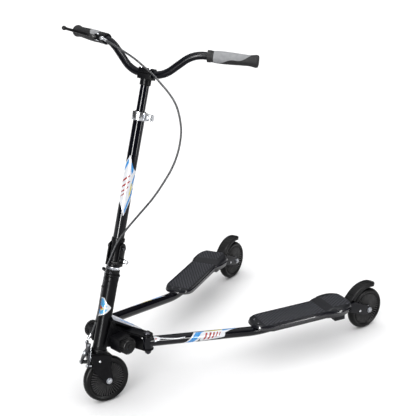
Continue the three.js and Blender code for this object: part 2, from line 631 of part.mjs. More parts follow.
function buildDeckScrews() {
  const pad = box(-19, 19, 12, 26, DECK_TOP - 8.2, DECK_TOP - 7 - FIT);
  const screws = [-13, 13].map((x0) => lathe([
    [0, DECK_TOP - 8], [2.6, DECK_TOP - 8], [2.6, DECK_TOP + FIT], [5.5, DECK_TOP + FIT], [4, DECK_TOP + 3],
    [0, DECK_TOP + 3.4],
  ], 12).translate(x0, 18, 0));
  return carve([pad, ...screws]);
}

// ---- Rear mudguards ----
function buildMudguard() {
  const [from, to] = [66 * DEG, 142 * DEG];
  const roof = sidePlate(arcBand(78, 83, from, to), -17.5, 17.5, 6);
  const flanges = [-17.5, 14.9].map((x0) => sidePlate(arcBand(71, 79, from, to), x0, x0 + 2.6, 6));
  const footOutline = shapeOf([[-73.7, 18], [-70.2, 18], [-67.5, 40], [-60, 49.5], [-63, 54], [-73.7, 44]]);
  const foot = sidePlate(footOutline, -14, 14);
  return carve([roof, ...flanges, foot]);
}

// Stand the scooter on the floor with the origin under its middle.
scooter.updateMatrixWorld(true);
const extent = new THREE.Box3().setFromObject(scooter, true);
const middle = extent.getCenter(new THREE.Vector3());
scooter.position.set(-middle.x, -middle.y, -extent.min.z);

export default scooter;
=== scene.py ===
import math

import bmesh
import bpy
import numpy as np
from mathutils import Matrix, Vector


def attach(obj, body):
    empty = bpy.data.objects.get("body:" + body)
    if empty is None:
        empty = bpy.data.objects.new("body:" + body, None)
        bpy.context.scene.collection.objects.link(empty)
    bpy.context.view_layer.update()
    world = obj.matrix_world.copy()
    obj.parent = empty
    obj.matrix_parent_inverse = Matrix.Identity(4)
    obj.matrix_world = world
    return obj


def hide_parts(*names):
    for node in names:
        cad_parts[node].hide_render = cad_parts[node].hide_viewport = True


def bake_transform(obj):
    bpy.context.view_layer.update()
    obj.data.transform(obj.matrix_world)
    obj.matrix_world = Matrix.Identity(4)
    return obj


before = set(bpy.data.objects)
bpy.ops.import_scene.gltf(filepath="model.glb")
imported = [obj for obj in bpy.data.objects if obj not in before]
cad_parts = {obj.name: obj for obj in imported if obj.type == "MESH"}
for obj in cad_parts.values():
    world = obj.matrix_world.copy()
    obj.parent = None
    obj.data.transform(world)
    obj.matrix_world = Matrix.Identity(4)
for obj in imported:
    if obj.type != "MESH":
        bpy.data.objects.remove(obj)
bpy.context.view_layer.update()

DEG = math.pi / 180
SIDES = (("left", 1), ("right", -1))

# ---- Dimensions in millimetres, as in the CAD ----
SHIFT = (-0.275, -391.104, 0)  # from the frame's middle plane and wheel line to the row origin
RAKE, FORK_TURN, BAR_TURN = 16.7 * DEG, -16 * DEG, 16 * DEG
WHEEL_R = 62.5
HEAD_TUBE_Q = (92.3, 283)
PIN_Q = 328
FOLD_Q = 360
COLUMN_Q = (384.3, 703)
CLAMP_Q = (684, 705)
BAR_Q = 800
BEND_X, BEND_Q = 118, 65
GRIP_START, GRIP_LENGTH = 34, 122
GRIP_SWEEP, GRIP_RISE = 20 * DEG, 4 * DEG
EYE = (85, 82, 163)
DECK_TOP = 117
AXLE_YQ = (33.52, 10.06)  # the front axle in the fork's frame
CALLIPER_Q = 78.5
ROUTE_STEPS = 8  # curve steps between two points of a cable
LEVER_PIVOT = (-25, 27)


def move(x, y, z):
    return Matrix.Translation((x, y, z))


def turn(angle, axis):
    return Matrix.Rotation(angle, 4, axis)


# ---- Frames, in millimetres ----
ROW = move(*SHIFT)
AXIS = ROW @ move(0, -35, 62) @ turn(-RAKE, "X")
FORK = AXIS @ turn(FORK_TURN, "Z")
COLUMN = AXIS @ turn(BAR_TURN, "Z")
FRONT_WHEEL = FORK @ move(0, *AXLE_YQ)


def grip_direction(side):
    level = math.cos(GRIP_RISE)
    return Vector((side * math.cos(GRIP_SWEEP) * level, math.sin(GRIP_SWEEP) * level, math.sin(GRIP_RISE)))


def grip_frame(side):
    """+Z out along the grip, +Y towards the rider."""
    out = grip_direction(side)
    back = Vector((0, 0, 1)).cross(out).normalized() * side
    basis = Matrix((back.cross(out), back, out)).transposed().to_4x4()
    return COLUMN @ move(side * BEND_X, 0, BAR_Q + BEND_Q) @ basis


def rear_wheel_frame(side):
    return ROW @ move(side * 270, 782, WHEEL_R) @ turn(-side * 10 * DEG, "Z")


def deck_frame(side):
    return ROW @ move(side * 154, 402, 0) @ turn(-side * 20.5 * DEG, "Z")


# ---- Mesh building: a shape is (vertices, faces) in millimetres ----
def grid(rows, count, closed=True):
    """Quads between rows + 1 rows of count points each, joined round when closed."""
    return [(i * count + k, i * count + (k + 1) % count, (i + 1) * count + (k + 1) % count, (i + 1) * count
        + k) for i in range(rows) for k in range(count if closed else count - 1)]


def lathe(profile, segments=72):
    """A round body about +Z from (radius, height) points."""
    angles = np.linspace(0, 2 * math.pi, segments, endpoint=False)
    rings = [[(r * math.cos(a), r * math.sin(a), z) for a in angles] for r, z in profile]
    return [v for ring in rings for v in ring], grid(len(rings) - 1, segments)


def end_caps(rows, count):
    last = rows * count
    return [tuple(range(count - 1, -1, -1)), tuple(range(last, last + count))]


def soft(points, radius, closed=False, steps=4):
    """The polyline with its corners rounded off."""
    points = [Vector(p) for p in points]
    count = len(points)
    out = []
    for i, p in enumerate(points):
        if not closed and i in (0, count - 1):
            out.append(tuple(p))
            continue
        before, after = points[i - 1] - p, points[(i + 1) % count] - p
        reach = min(radius, before.length * 0.45, after.length * 0.45)
        a, b = p + before.normalized() * reach, p + after.normalized() * reach
        for k in range(steps + 1):
            t = k / steps
            out.append(tuple(a * (1 - t) ** 2 + p * (2 * t * (1 - t)) + b * t ** 2))
    return out


def turned(profile, radius=0.8, segments=72):
    return lathe(soft(profile, radius, steps=3), segments)


def plate(outline, z0, z1):
    """A flat outline with a thickness along Z."""
    n = len(outline)
    vertices = [(x, y, z) for z in (z0, z1) for x, y in outline]
    return vertices, grid(1, n) + end_caps(1, n)


TO_SIDE = Matrix(((0, 0, 1, 0), (1, 0, 0, 0), (0, 1, 0, 0), (0, 0, 0, 1)))
ALONG_X = turn(90 * DEG, "Y")
ALONG_Y = turn(-90 * DEG, "X")
OUTWARDS = {1: ALONG_X, -1: turn(-90 * DEG, "Y")}


def placed(shape, *matrices):
    """The shape moved by each matrix in turn."""
    for matrix in matrices:
        shape = ([tuple(matrix @ Vector(v)) for v in shape[0]], shape[1])
    return shape


def side_plate(outline, x0, x1):
    """An outline drawn in the side view, (y, z), with its thickness across X."""
    return placed(plate(outline, x0, x1), TO_SIDE)


def box(x0, x1, y0, y1, z0, z1):
    return plate([(x0, y0), (x1, y0), (x1, y1), (x0, y1)], z0, z1)


def span(side, near, far):
    return sorted((side * near, side * far))


def arc(cx, cy, radius, start, end, steps=20):
    angles = [start + (end - start) * i / steps for i in range(steps + 1)]
    return [(cx + radius * math.cos(a), cy + radius * math.sin(a)) for a in angles]


def sweep(points, radius, sides=24):
    """A tube along points, with flat ends."""
    points = [Vector(p) for p in points]
    end = len(points) - 1
    tangents = [(points[min(i + 1, end)] - points[max(i - 1, 0)]).normalized() for i in range(end + 1)]
    normal = tangents[0].orthogonal().normalized()
    vertices = []
    for i, p in enumerate(points):
        if i:
            normal = tangents[i - 1].rotation_difference(tangents[i]) @ normal
            normal = (normal - tangents[i] * normal.dot(tangents[i])).normalized()
        other = tangents[i].cross(normal)
        for k in range(sides):
            a = 2 * math.pi * k / sides
            vertices.append(tuple(p + (normal * math.cos(a) + other * math.sin(a)) * radius))
    return vertices, grid(end, sides) + end_caps(end, sides)


def smooth_path(points, fillet, spacing):
    """Straight runs with rounded corners, cut into short even steps."""
    rounded = [Vector(p) for p in soft(points, fillet, steps=14)]
    out = [rounded[0]]
    for a, b in zip(rounded, rounded[1:]):
        count = max(1, round((b - a).length / spacing))
        out += [a.lerp(b, k / count) for k in range(1, count + 1)]
    return out


def catmull(points, steps):
    """A smooth centripetal curve through the points."""
    pts = [Vector(p) for p in points]
    pts = [pts[0] * 2 - pts[1], *pts, pts[-1] * 2 - pts[-2]]
    out = []
    for i in range(1, len(pts) - 2):
        p0, p1, p2, p3 = pts[i - 1:i + 3]
        t = [0]
        for a, b in ((p0, p1), (p1, p2), (p2, p3)):
            t.append(t[-1] + math.sqrt(max((b - a).length, 1e-6)))
        for k in range(steps):
            u = t[1] + (t[2] - t[1]) * k / steps
            a1 = p0.lerp(p1, (u - t[0]) / (t[1] - t[0]))
            a2 = p1.lerp(p2, (u - t[1]) / (t[2] - t[1]))
            a3 = p2.lerp(p3, (u - t[2]) / (t[3] - t[2]))
            b1 = a1.lerp(a2, (u - t[0]) / (t[2] - t[0]))
            b2 = a2.lerp(a3, (u - t[1]) / (t[3] - t[1]))
            out.append(b1.lerp(b2, (u - t[1]) / (t[2] - t[1])))
    return out + [pts[-2]]


def hexagon(across, z0, z1):
    """A hexagon prism of that width across its flats."""
    radius = across / 2 / math.cos(30 * DEG)
    return plate([(radius * math.cos(k * 60 * DEG), radius * math.sin(k * 60 * DEG)) for k in range(6)], z0,
        z1)


def new_object(name, data):
    made = bpy.data.objects.new(name, data)
    bpy.context.scene.collection.objects.link(made)
    return made


def piece(name, parts, look, matrix, body, replaces=(), sharp=38):
    """One visible piece from several shapes, placed by matrix and riding on the body named by a string;
    given anything else as its body, it is baked in place and rides on none.
    """
    mesh = bpy.data.meshes.new(name)
    bm = bmesh.new()
    for part in parts:
        shape, own_bevel = part if isinstance(part[1], (int, float)) else (part, 0)
        start = bmesh.new()
        vertices = [start.verts.new(Vector(v) * 0.001) for v in shape[0]]
        for face in shape[1]:
            start.faces.new([vertices[i] for i in face])
        bmesh.ops.remove_doubles(start, verts=start.verts, dist=2e-6)
        bmesh.ops.dissolve_degenerate(start, edges=start.edges, dist=1e-6)
        bmesh.ops.recalc_face_normals(start, faces=start.faces)
        if own_bevel:
            edges = [e for e in start.edges if len(e.link_faces) == 2 and e.calc_face_angle(0) > 50 * DEG]
            bmesh.ops.bevel(start, geom=edges, offset=own_bevel * 0.001, segments=2, profile=0.6,
                affect="EDGES", clamp_overlap=True)
        scratch = bpy.data.meshes.new("scratch")
        start.to_mesh(scratch)
        start.free()
        bm.from_mesh(scratch)
        bpy.data.meshes.remove(scratch)
    bm.to_mesh(mesh)
    bm.free()
    mesh.shade_smooth()
    mesh.set_sharp_from_angle(angle=sharp * DEG)
    obj = new_object(name, mesh)
    mesh.materials.append(look.material)
    location, rotation, _ = matrix.decompose()
    obj.matrix_world = Matrix.Translation(location * 0.001) @ rotation.to_matrix().to_4x4()
    if isinstance(body, str):
        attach(obj, body)
    else:
        first, second, start, end = body
        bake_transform(obj)
    if replaces:
        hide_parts(*replaces)
    return obj


def show(node, parts, look, matrix, body, sharp=38):
    """The piece that stands for one CAD node, named after it."""
    piece(f"{node}_visual", parts, look, matrix, body, [node], sharp)


# ---- Materials ----
def add_node(tree, kind, inputs=None, **settings):
    """A node whose inputs are linked where a socket is given, and set where a value is."""
    made = tree.nodes.new(kind)
    for key, value in settings.items():
        setattr(made, key, value)
    for key, value in (inputs or {}).items():
        if isinstance(value, bpy.types.NodeSocket):
            tree.links.new(value, made.inputs[key])
        else:
            made.inputs[key].default_value = value
    return made


class Look:
    """A node material: a Principled shader with noise in its colour, roughness and bump."""

    def __init__(self, name, colour, other, roughness, metallic=0.0, scale=60.0, grain=900.0, bump=0.05,
            coat=0.0, coat_roughness=0.06, specular=0.5, stretch=(1, 1, 1)):
        self.material = bpy.data.materials.new(name)
        self.material.use_nodes = True
        self.tree = self.material.node_tree
        self.shader = self.tree.nodes["Principled BSDF"]
        self.coordinates = self.node("ShaderNodeTexCoord").outputs["Object"]
        stretched = self.node("ShaderNodeVectorMath", {0: self.coordinates, 1: stretch},
            operation="MULTIPLY").outputs[0]
        clouds = self.node("ShaderNodeTexNoise", {"Vector": stretched, "Scale": scale,
            "Detail": 5.0}).outputs["Fac"]
        self.grain = self.node("ShaderNodeTexNoise", {"Vector": stretched, "Scale": grain,
            "Detail": 3.0}).outputs["Fac"]
        mottle = self.math("MULTIPLY_ADD", self.grain, 0.5, self.math("MULTIPLY", clouds, 0.5))
        rough = self.node("ShaderNodeMapRange", {"Value": mottle, "From Min": 0.3, "From Max": 0.7,
            "To Min": roughness[0], "To Max": roughness[1]}).outputs[0]
        self.tree.links.new(rough, self.shader.inputs["Roughness"])
        self.shader.inputs["Metallic"].default_value = metallic
        self.shader.inputs["Coat Weight"].default_value = coat
        self.shader.inputs["Coat Roughness"].default_value = coat_roughness
        self.shader.inputs["Specular IOR Level"].default_value = specular
        self.normal = None
        self.paint(self.mix(self.ramp(clouds, 0.35, 0.68), colour, other))
        self.relief(self.grain, bump, 0.0002)

    def node(self, kind, inputs=None, **settings):
        return add_node(self.tree, kind, inputs, **settings)

    def math(self, operation, *values):
        return self.node("ShaderNodeMath", dict(enumerate(values)), operation=operation).outputs[0]

    def times(self, a, b):
        return self.math("MULTIPLY", a, b)

    def ramp(self, value, low, high):
        """0 below low, 1 above high, smooth between."""
        return self.node("ShaderNodeMapRange", {"Value": value, "From Min": low, "From Max": high},
            interpolation_type="SMOOTHSTEP").outputs[0]

    def mix(self, factor, a, b):
        a, b = ((*c, 1.0) if isinstance(c, tuple) else c for c in (a, b))
        return self.node("ShaderNodeMix", {0: factor, 6: a, 7: b}, data_type="RGBA").outputs[2]

    def paint(self, colour):
        self.colour = colour
        self.tree.links.new(colour, self.shader.inputs["Base Color"])

    def relief(self, height, strength, distance):
        inputs = {"Height": height, "Strength": strength, "Distance": distance}
        if self.normal:
            inputs["Normal"] = self.normal
        self.normal = self.node("ShaderNodeBump", inputs).outputs[0]
        self.tree.links.new(self.normal, self.shader.inputs["Normal"])

    def axes(self):
        parts = self.node("ShaderNodeSeparateXYZ", {0: self.coordinates})
        return [parts.outputs[k] for k in range(3)]


paint = Look("paint_gloss_black", (0.0022, 0.0024, 0.0045), (0.0036, 0.0038, 0.0065), (0.06, 0.12),
    scale=14, grain=500, bump=0.02, specular=0.2)
bar_paint = Look("paint_bar_black", (0.0022, 0.0024, 0.0045), (0.0036, 0.0038, 0.0065), (0.2, 0.3),
    scale=14, grain=500, bump=0.02, specular=0.1)
satin_paint = Look("paint_satin_black", (0.0035, 0.0035, 0.0045), (0.006, 0.006, 0.007), (0.24, 0.36),
    scale=30, grain=900, bump=0.05, specular=0.08)
alloy = Look("polished_alloy", (0.50, 0.51, 0.53), (0.38, 0.39, 0.41), (0.14, 0.32), metallic=1.0, scale=40,
    grain=700, bump=0.04, stretch=(1, 1, 9))
steel = Look("zinc_steel", (0.36, 0.37, 0.39), (0.26, 0.27, 0.29), (0.2, 0.42), metallic=1.0, scale=90,
    grain=900, bump=0.08)
black_plastic = Look("moulded_black", (0.004, 0.004, 0.0045), (0.007, 0.007, 0.0075), (0.28, 0.42),
    scale=70, grain=1500, bump=0.1, specular=0.12)
tyre_pu = Look("cast_polyurethane", (0.004, 0.004, 0.0045), (0.007, 0.007, 0.007), (0.28, 0.42), scale=50,
    grain=1100, bump=0.07, specular=0.12)
hub_plastic = Look("moulded_hub", (0.003, 0.003, 0.0035), (0.005, 0.005, 0.0055), (0.3, 0.45), scale=80,
    grain=1400, bump=0.08, specular=0.1)
# Painted highlight: the hub's ribs are its own plastic painted lighter grey, where the ribs catch the
# light.
rib_painted_highlight = Look("hub_ribs_painted_highlight", (0.05, 0.05, 0.051), (0.066, 0.066, 0.067), (0.26, 0.38), scale=80,
    grain=1400, bump=0.05, specular=0.3)
dark_steel = Look("black_oxide_steel", (0.05, 0.05, 0.055), (0.03, 0.03, 0.034), (0.25, 0.4), metallic=1.0,
    scale=90, grain=900, bump=0.06)
cable_skin = Look("cable_housing", (0.022, 0.023, 0.026), (0.035, 0.036, 0.04), (0.28, 0.42), scale=120,
    grain=1800, bump=0.06, specular=0.3)
seal = Look("bearing_seal", (0.02, 0.02, 0.02), (0.04, 0.04, 0.04), (0.4, 0.6), scale=200, grain=1500,
    bump=0.1)


def deck_look():
    """Dark grey moulded plastic with rows of small raised diamonds between smooth borders, the diamonds
    painted lighter grey as a painted highlight.
    """
    look = Look("moulded_deck", (0.0065, 0.007, 0.0095), (0.010, 0.0105, 0.013), (0.34, 0.46), scale=60,
        grain=1500, bump=0.08, specular=0.14)
    x, y, z = look.axes()
    pitch = 0.0048
    along = look.times(y, 0.62)
    first = look.math("PINGPONG", look.math("ADD", x, along), pitch)
    second = look.math("PINGPONG", look.math("SUBTRACT", x, along), pitch)
    diamond = look.ramp(look.math("MINIMUM", first, second), 0.0010, 0.0022)
    back = look.times(y, -1.0)
    fields = look.math("MAXIMUM", look.ramp(back, -0.222, -0.219), look.ramp(y, 0.245, 0.248))
    ends = look.times(look.ramp(y, 0.028, 0.031), look.ramp(back, -0.312, -0.309))
    tread = look.times(fields, ends)
    width = look.ramp(look.times(look.math("ABSOLUTE", x), -1.0), -0.0365, -0.035)
    top = look.ramp(z, DECK_TOP * 0.001 - 0.0015, DECK_TOP * 0.001 - 0.0008)
    mask = look.times(look.times(tread, width), top)
    raised = look.times(diamond, mask)
    look.relief(raised, 1.0, 0.0016)
    # Painted highlight: the raised diamonds are painted lighter grey where they would catch the light.
    look.paint(look.mix(look.times(raised, 0.9), look.colour, (0.062, 0.064, 0.075)))
    return look


def grip_look(side):
    """Soft light grey above and charcoal below, with a wavy edge between, and a dark collar and end."""
    look = Look("grip_two_tone_" + ("left" if side > 0 else "right"), (0.23, 0.235, 0.245), (0.29, 0.295,
        0.305), (0.5, 0.66), scale=70, grain=1500, bump=0.16)
    x, y, z = look.axes()
    up = look.times(x, -side * 0.9)
    front = look.times(y, -0.42)
    height = look.math("ADD", up, front)
    wave = look.times(look.math("SINE", look.math("MULTIPLY_ADD", z, 130.0, 2.4)), 0.0024)
    slope = look.math("MULTIPLY_ADD", z, 0.25, -0.0235 if side > 0 else -0.0085)
    edge = look.math("ADD", wave, slope)
    panel = look.ramp(look.math("SUBTRACT", height, edge), -0.0003, 0.0003)
    start = look.ramp(z, (GRIP_START + 15) * 0.001, (GRIP_START + 16) * 0.001)
    end = look.ramp(look.times(z, -1.0), -(GRIP_START + 108) * 0.001, -(GRIP_START + 106.5) * 0.001)
    mask = look.times(look.times(panel, start), end)
    look.paint(look.mix(mask, (0.007, 0.007, 0.008), look.colour))
    look.shader.inputs["Specular IOR Level"].default_value = 0.2
    ribs = look.math("PINGPONG", z, 0.0016)
    look.relief(look.times(ribs, look.math("SUBTRACT", 1.0, mask)), 0.5, 0.6)
    return look


def vinyl(name, colour, other):
    return Look(name, colour, other, (0.22, 0.34), scale=150, grain=1200, bump=0.03, coat=0.4,
        coat_roughness=0.08)


white_vinyl = vinyl("vinyl_white", (0.74, 0.76, 0.79), (0.68, 0.70, 0.74))
blue_vinyl = vinyl("vinyl_blue", (0.010, 0.22, 0.60), (0.018, 0.28, 0.66))
pale_vinyl = vinyl("vinyl_pale_blue", (0.06, 0.36, 0.70), (0.10, 0.44, 0.76))
red_vinyl = vinyl("vinyl_red", (0.36, 0.008, 0.006), (0.30, 0.006, 0.006))
yellow_vinyl = vinyl("vinyl_yellow", (0.66, 0.56, 0.05), (0.60, 0.50, 0.04))
deck_plastic = deck_look()
gloss_plastic = Look("moulded_deck_side", (0.005, 0.005, 0.008), (0.008, 0.008, 0.012), (0.12, 0.2),
    scale=60, grain=1300, bump=0.02, specular=0.4)


# ---- Wheels ----
def wheel(label, matrix, body):
    tyre_profile = soft([(47.1, -8.6), (50.5, -10.6), (55, -12), (59.5, -9.6), (62, -4.2), (62.5, 0),
        (62, 4.2), (59.5, 9.6), (55, 12), (50.5, 10.6), (47.1, 8.6)], 2.4)
    tyre = lathe([*tyre_profile, tyre_profile[0]], 128)
    show(f"{label}_tyre", [placed(tyre, ALONG_X)], tyre_pu, matrix, body, sharp=50)
    core = lathe(soft([(11.4, -13), (13.2, -13), (13.8, -11.5), (14, -4.2), (45.2, -3.6), (45.8, -9.2),
        (46.9, -9.2), (46.9, 9.2), (45.8, 9.2), (45.2, 3.6), (14, 4.2), (13.8, 11.5), (13.2, 13),
        (11.4, 13)], 0.9, steps=3) + [(11.4, -13)], 128)
    rib = plate([(12, -0.35), (45.8, -0.85), (45.8, 0.85), (12, 0.35)], -10.4, 10.4)
    ribs = [(placed(rib, turn(k * 9 * DEG, "Z"), ALONG_X), 0.3) for k in range(40)]
    show(f"{label}_hub", [placed(core, ALONG_X)], hub_plastic, matrix, body)
    piece(f"{label}_hub_ribs", ribs, rib_painted_highlight, matrix, body, ())
    races = []
    for side in (-1, 1):
        races.append(lathe(soft([(4.2, side * 12.6), (6.2, side * 13), (6.2, side * 12.4),
            (9.2, side * 12.4), (9.2, side * 13), (11, side * 13), (11, side * 9), (4.2, side * 9)], 0.2,
            steps=2) + [(4.2, side * 12.6)], 64))
    show(f"{label}_bearings", [placed(r, ALONG_X) for r in races], steel, matrix, body)
    shields = [lathe([(6.2, side * 12.5), (9.2, side * 12.5), (9.2, side * 12.1), (6.2, side * 12.1),
        (6.2, side * 12.5)], 48) for side in (-1, 1)]
    piece(f"{label}_bearing_seals", [placed(s, ALONG_X) for s in shields], seal, matrix, body)


def axle(name, matrix, body, node):
    half = 21.5  # from the middle to the outside of a fork side
    head = lathe(soft([(0, -half - 4.8), (2.6, -half - 4.8), (3.0, -half - 2.6), (3.2, -half - 4.6),
        (5.2, -half - 4.4), (6.5, -half - 2.4), (6.5, -half)], 0.5, steps=3) + [(0, -half)], 48)
    washer = lathe([(4, half), (8.2, half), (8.2, half + 1), (4, half + 1)], 48)
    nut = hexagon(12, half + 1, half + 4.4)
    dome = turned([(0, half + 5.9), (3.2, half + 5.6), (5, half + 4.2), (5, half + 3)], 1.2, 48)
    left_washer = lathe([(4, -half), (8.2, -half), (8.2, -half - 1), (4, -half - 1)], 48)
    shaft = lathe([(4, -half), (4, half)], 32)
    parts = [(placed(nut, ALONG_X), 0.6)] + [(placed(s, ALONG_X), 0) for s in (head, washer, dome,
        left_washer, shaft)]
    piece(name, parts, steel, matrix, body, [node])


wheel("front", FRONT_WHEEL, "front_wheel")
axle("front_axle_visual", FRONT_WHEEL, "fork", "front_axle_bolt")
for label, side in SIDES:
    matrix = rear_wheel_frame(side)
    wheel(f"rear_{label}", matrix, f"rear_wheel_{label}")
    axle(f"rear_{label}_axle_visual", matrix, f"leg_{label}", f"rear_{label}_axle_bolt")

# ---- Frame: head tube, gusset, brackets ----
head_tube = turned([(15.2, HEAD_TUBE_Q[0]), (18.6, HEAD_TUBE_Q[0]), (18.6, HEAD_TUBE_Q[0] + 10),
    (18, HEAD_TUBE_Q[0] + 11), (18, HEAD_TUBE_Q[1] - 11), (18.6, HEAD_TUBE_Q[1] - 10),
    (18.6, HEAD_TUBE_Q[1]), (15.2, HEAD_TUBE_Q[1])], 0.6)
to_row = ROW.inverted() @ AXIS
frame_parts = [(placed(head_tube, to_row), 0)]
top_face = soft([(14, 226), (22, 228), (132, 151), (134, 140), (124, 140), (20, 214)], 3, closed=True)
frame_parts.append((side_plate(top_face, -28, 28), 1.2))
for side in (-1, 1):
    web = soft([(-12, 164), (14, 226), (22, 228), (132, 151), (134, 140), (60, 140), (18, 152)], 3,
        closed=True)
    frame_parts.append((side_plate(web, *span(side, 24.5, 27)), 0.8))
    rim_top = soft([(24, 219), (40, 209), (126, 149), (126, 144), (118, 144), (30, 204)], 2, closed=True)
    rim_low = soft([(2, 160), (20, 154), (62, 142), (128, 142), (128, 147), (62, 148), (22, 160), (4, 168)],
        2, closed=True)
    frame_parts += [(side_plate(rim, *span(side, 26.5, 28)), 0.5) for rim in (rim_top, rim_low)]
    x, y, z = EYE
    for low, high, rear in ((z - 21.6, z - 18.4, 108), (z + 18.4, z + 21.6, 84)):
        ends = arc(side * x, y, 14.6, -90 * DEG, (90 if side > 0 else -270) * DEG, 18)
        frame_parts.append((plate([(side * 20, 52), *ends, (side * 20, rear)], low, high), 0.9))
    frame_parts.append((box(*span(side, 24, 62.6), 7, 45, 151, 187), 2.2))
    frame_parts.append((box(*span(side, 56, 62.7), 11, 42, 155, 183), 1.0))
piece("frame_visual", frame_parts, satin_paint, ROW, "frame", ["frame_weldment"])

cup_low = turned([(13, 82.6), (17, 82.6), (20.5, 84.5), (20.5, 89.5), (18.8, 92), (13, 92)], 0.7)
cup_high = turned(
    [(13, 283.3), (18.8, 283.3), (20.5, 285.6), (20.5, 289.3), (17.5, 291.2), (13, 291.2)], 0.7)
show("headset_cup_lower", [cup_low], satin_paint, AXIS, "frame")
show("headset_cup_upper", [cup_high], satin_paint, AXIS, "frame")

for label, side in SIDES:
    x, y, z = EYE
    top, bottom = z + 23.2, z - 23.2
    bolt = [(turned([(0, top + 5.8), (6.5, top + 5.4), (9.4, top + 2.6), (9.8, top + 0.4), (9.8, top)], 1.2,
        48), 0), (lathe([(6, bottom), (6, top)], 32), 0), (lathe([(6, bottom), (10, bottom),
        (10, bottom - 1.4), (6, bottom - 1.4)], 48), 0), (hexagon(15, bottom - 8, bottom - 1.4), 0.6),
        (turned([(0, bottom - 11), (5, bottom - 11), (5, bottom - 8)], 0.8, 32), 0)]
    show(f"leg_pivot_bolt_{label}", bolt, dark_steel, ROW @ move(side * x, y, 0), "frame")
    # Painted shade: a thin dark hexagon on the bolt head stands for the shaded hex socket.
    socket_shade_plate = hexagon(5.4, top + 5.2, top + 5.95)
    piece(f"leg_pivot_socket_shade_{label}", [(socket_shade_plate, 0)], seal, ROW @ move(side * x, y, 0), "frame")

    lobes, lobe_count = [], 24
    for k in range(lobe_count * 6):
        angle = 2 * math.pi * k / (lobe_count * 6)
        radius = 21.2 + 0.75 * math.cos(lobe_count * angle)
        lobes.append((radius * math.cos(angle), radius * math.sin(angle)))
    knob = [(plate(lobes, 63.2, 77.6), 0.7), (turned([(0, 79), (9, 79), (10.5, 80.8), (16.5, 80.8),
        (18.4, 79.4), (19.6, 77.4)], 0.9), 0), (turned([(0, 80.9), (4.2, 80.9), (5.2, 80.2), (5.4, 78.5)],
        0.5, 40), 0), (lathe([(5, 46), (5, 64)], 32), 0)]
    show(f"leg_knob_{label}", [(placed(s, OUTWARDS[side]), b) for s, b in knob], black_plastic,
        ROW @ move(0, 27, 168), f"knob_{label}")

# ---- Fork ----
ay, aq = AXLE_YQ
leg_outline = [(-25, 81), (-23, 58), (-14, 34), *arc(ay, aq, 12, 215 * DEG, 380 * DEG, 24), (29, 52),
    (29, 81)]
fork_parts = [(side_plate(leg_outline, 17.2, 21.2), 1.1), (side_plate(leg_outline, -21.2, -17.2), 1.1),
    (box(-21.2, 21.2, -25, 29, 76, 81), 1.6), (turned([(10.2, 80), (17, 80.4), (17, 82.2), (12.7, 82.3),
    (12.7, 312), (10.2, 312)], 0.4), 0), (box(-8, 8, -28.4, -21.5, 70, 87), 1.4)]
show("fork", fork_parts, satin_paint, FORK, "fork")
rivet = turned([(0, 22.6), (2.4, 22.4), (3.4, 21.2), (3.4, 20.5)], 0.8, 32)
rivets = [placed(rivet, OUTWARDS[side], move(0, -2, 62)) for side in (-1, 1)]
piece("fork_rivets", rivets, alloy, FORK, "fork", ())

clamp_ring = [(turned([(13, 291.6), (17.4, 291.6), (18, 292.6), (18, 300.4), (17.4, 301.4), (13, 301.4)],
    0.5), 0), (placed(lathe(soft([(0, -21), (4.6, -21), (4.6, 21), (0, 21)], 0.8)), ALONG_X, move(0, -16.5,
    296.5)), 0)]
piece("steering_clamp_visual", clamp_ring, black_plastic, FORK, "fork", ["steering_clamp_ring"])
bolt_heads = [placed(turned([(0, s * 24), (3, s * 24), (3.6, s * 23), (3.6, s * 20.8)], 0.5, 32), ALONG_X,
    move(0, -16.5, 296.5)) for s in (-1, 1)]
piece("steering_clamp_bolts", bolt_heads, dark_steel, FORK, "fork", ())
nut_rim = turned([(13, 307), (14.4, 307), (14.4, 309.2), (13, 309.2)], 0.4)
locknut = [(hexagon(30, 301.9, 307.2), 0.8), (nut_rim, 0)]
show("headset_locknut", locknut, steel, COLUMN, "fork")

# ---- Calliper brake ----
hub_head = [(0, -43), (2.6, -43), (2.9, -41), (3.2, -42.8), (5, -42.6), (6, -41.4), (6, -38.4)]
hub_bolt = [(placed(lathe(soft(hub_head, 0.4) + [(0, -38.4)], 40), ALONG_Y), 0),
    (placed(lathe([(3, -40), (3, -22)], 24), ALONG_Y), 0)]
show("calliper_bolt", [(placed(s, move(0, 0, CALLIPER_Q)), b) for s, b in hub_bolt], steel, FORK, "fork")
LAYERS = {"left": (-33, -28.9), "right": (-37.4, -33.3)}
FROM_ARM = turn(90 * DEG, "X")
for label, side in SIDES:
    front, back = LAYERS[label]
    outline = [(11, 43), (19.5, 43), (21.5, 54), (19, 66), (8, 84), (-5, 100), (-8, 108), (-17, 108),
        (-16, 98), (-8, 78), (4, 66), (11, 56)]
    outline = soft([(side * a, b) for a, b in outline], 4, closed=True)
    arm = [(placed(plate(outline, -back, -front), FROM_ARM), 0.9)]
    show(f"calliper_arm_{label}", arm, dark_steel, FORK, f"calliper_{label}")
    pad = [(box(*span(side, 14.3, 17), back + 0.3, -6, 44, 54), 1.1)]
    show(f"brake_pad_{label}", pad, black_plastic, FORK, f"calliper_{label}")
    post = placed(lathe([(0, back + 0.2), (2.6, back + 0.2), (2.6, -22), (0, -22)], 24), ALONG_Y)
    nut = placed(hexagon(7, front - 3.4, front), ALONG_Y)
    fixings = [(placed(post, move(side * 15.4, 0, 49)), 0), (placed(nut, move(side * 15.4, 0, 49)), 0.4),
        (placed(hexagon(6.4, front - 2.6, front), ALONG_Y, move(-side * 12.4, 0, 103)), 0.4)]
    piece(f"calliper_fixings_{label}", fixings, steel, FORK, f"calliper_{label}", ())
wire = [(-17, -26.5, 60), (-15, -28, 74), (-9, -27.6, 88), (0, -27.4, 93), (9, -27.6, 88), (15, -28, 74),
    (17, -26.5, 60)]
piece("calliper_return_wire", [sweep(catmull(wire, ROUTE_STEPS), 0.9, 10)], steel, FORK, "fork", ())

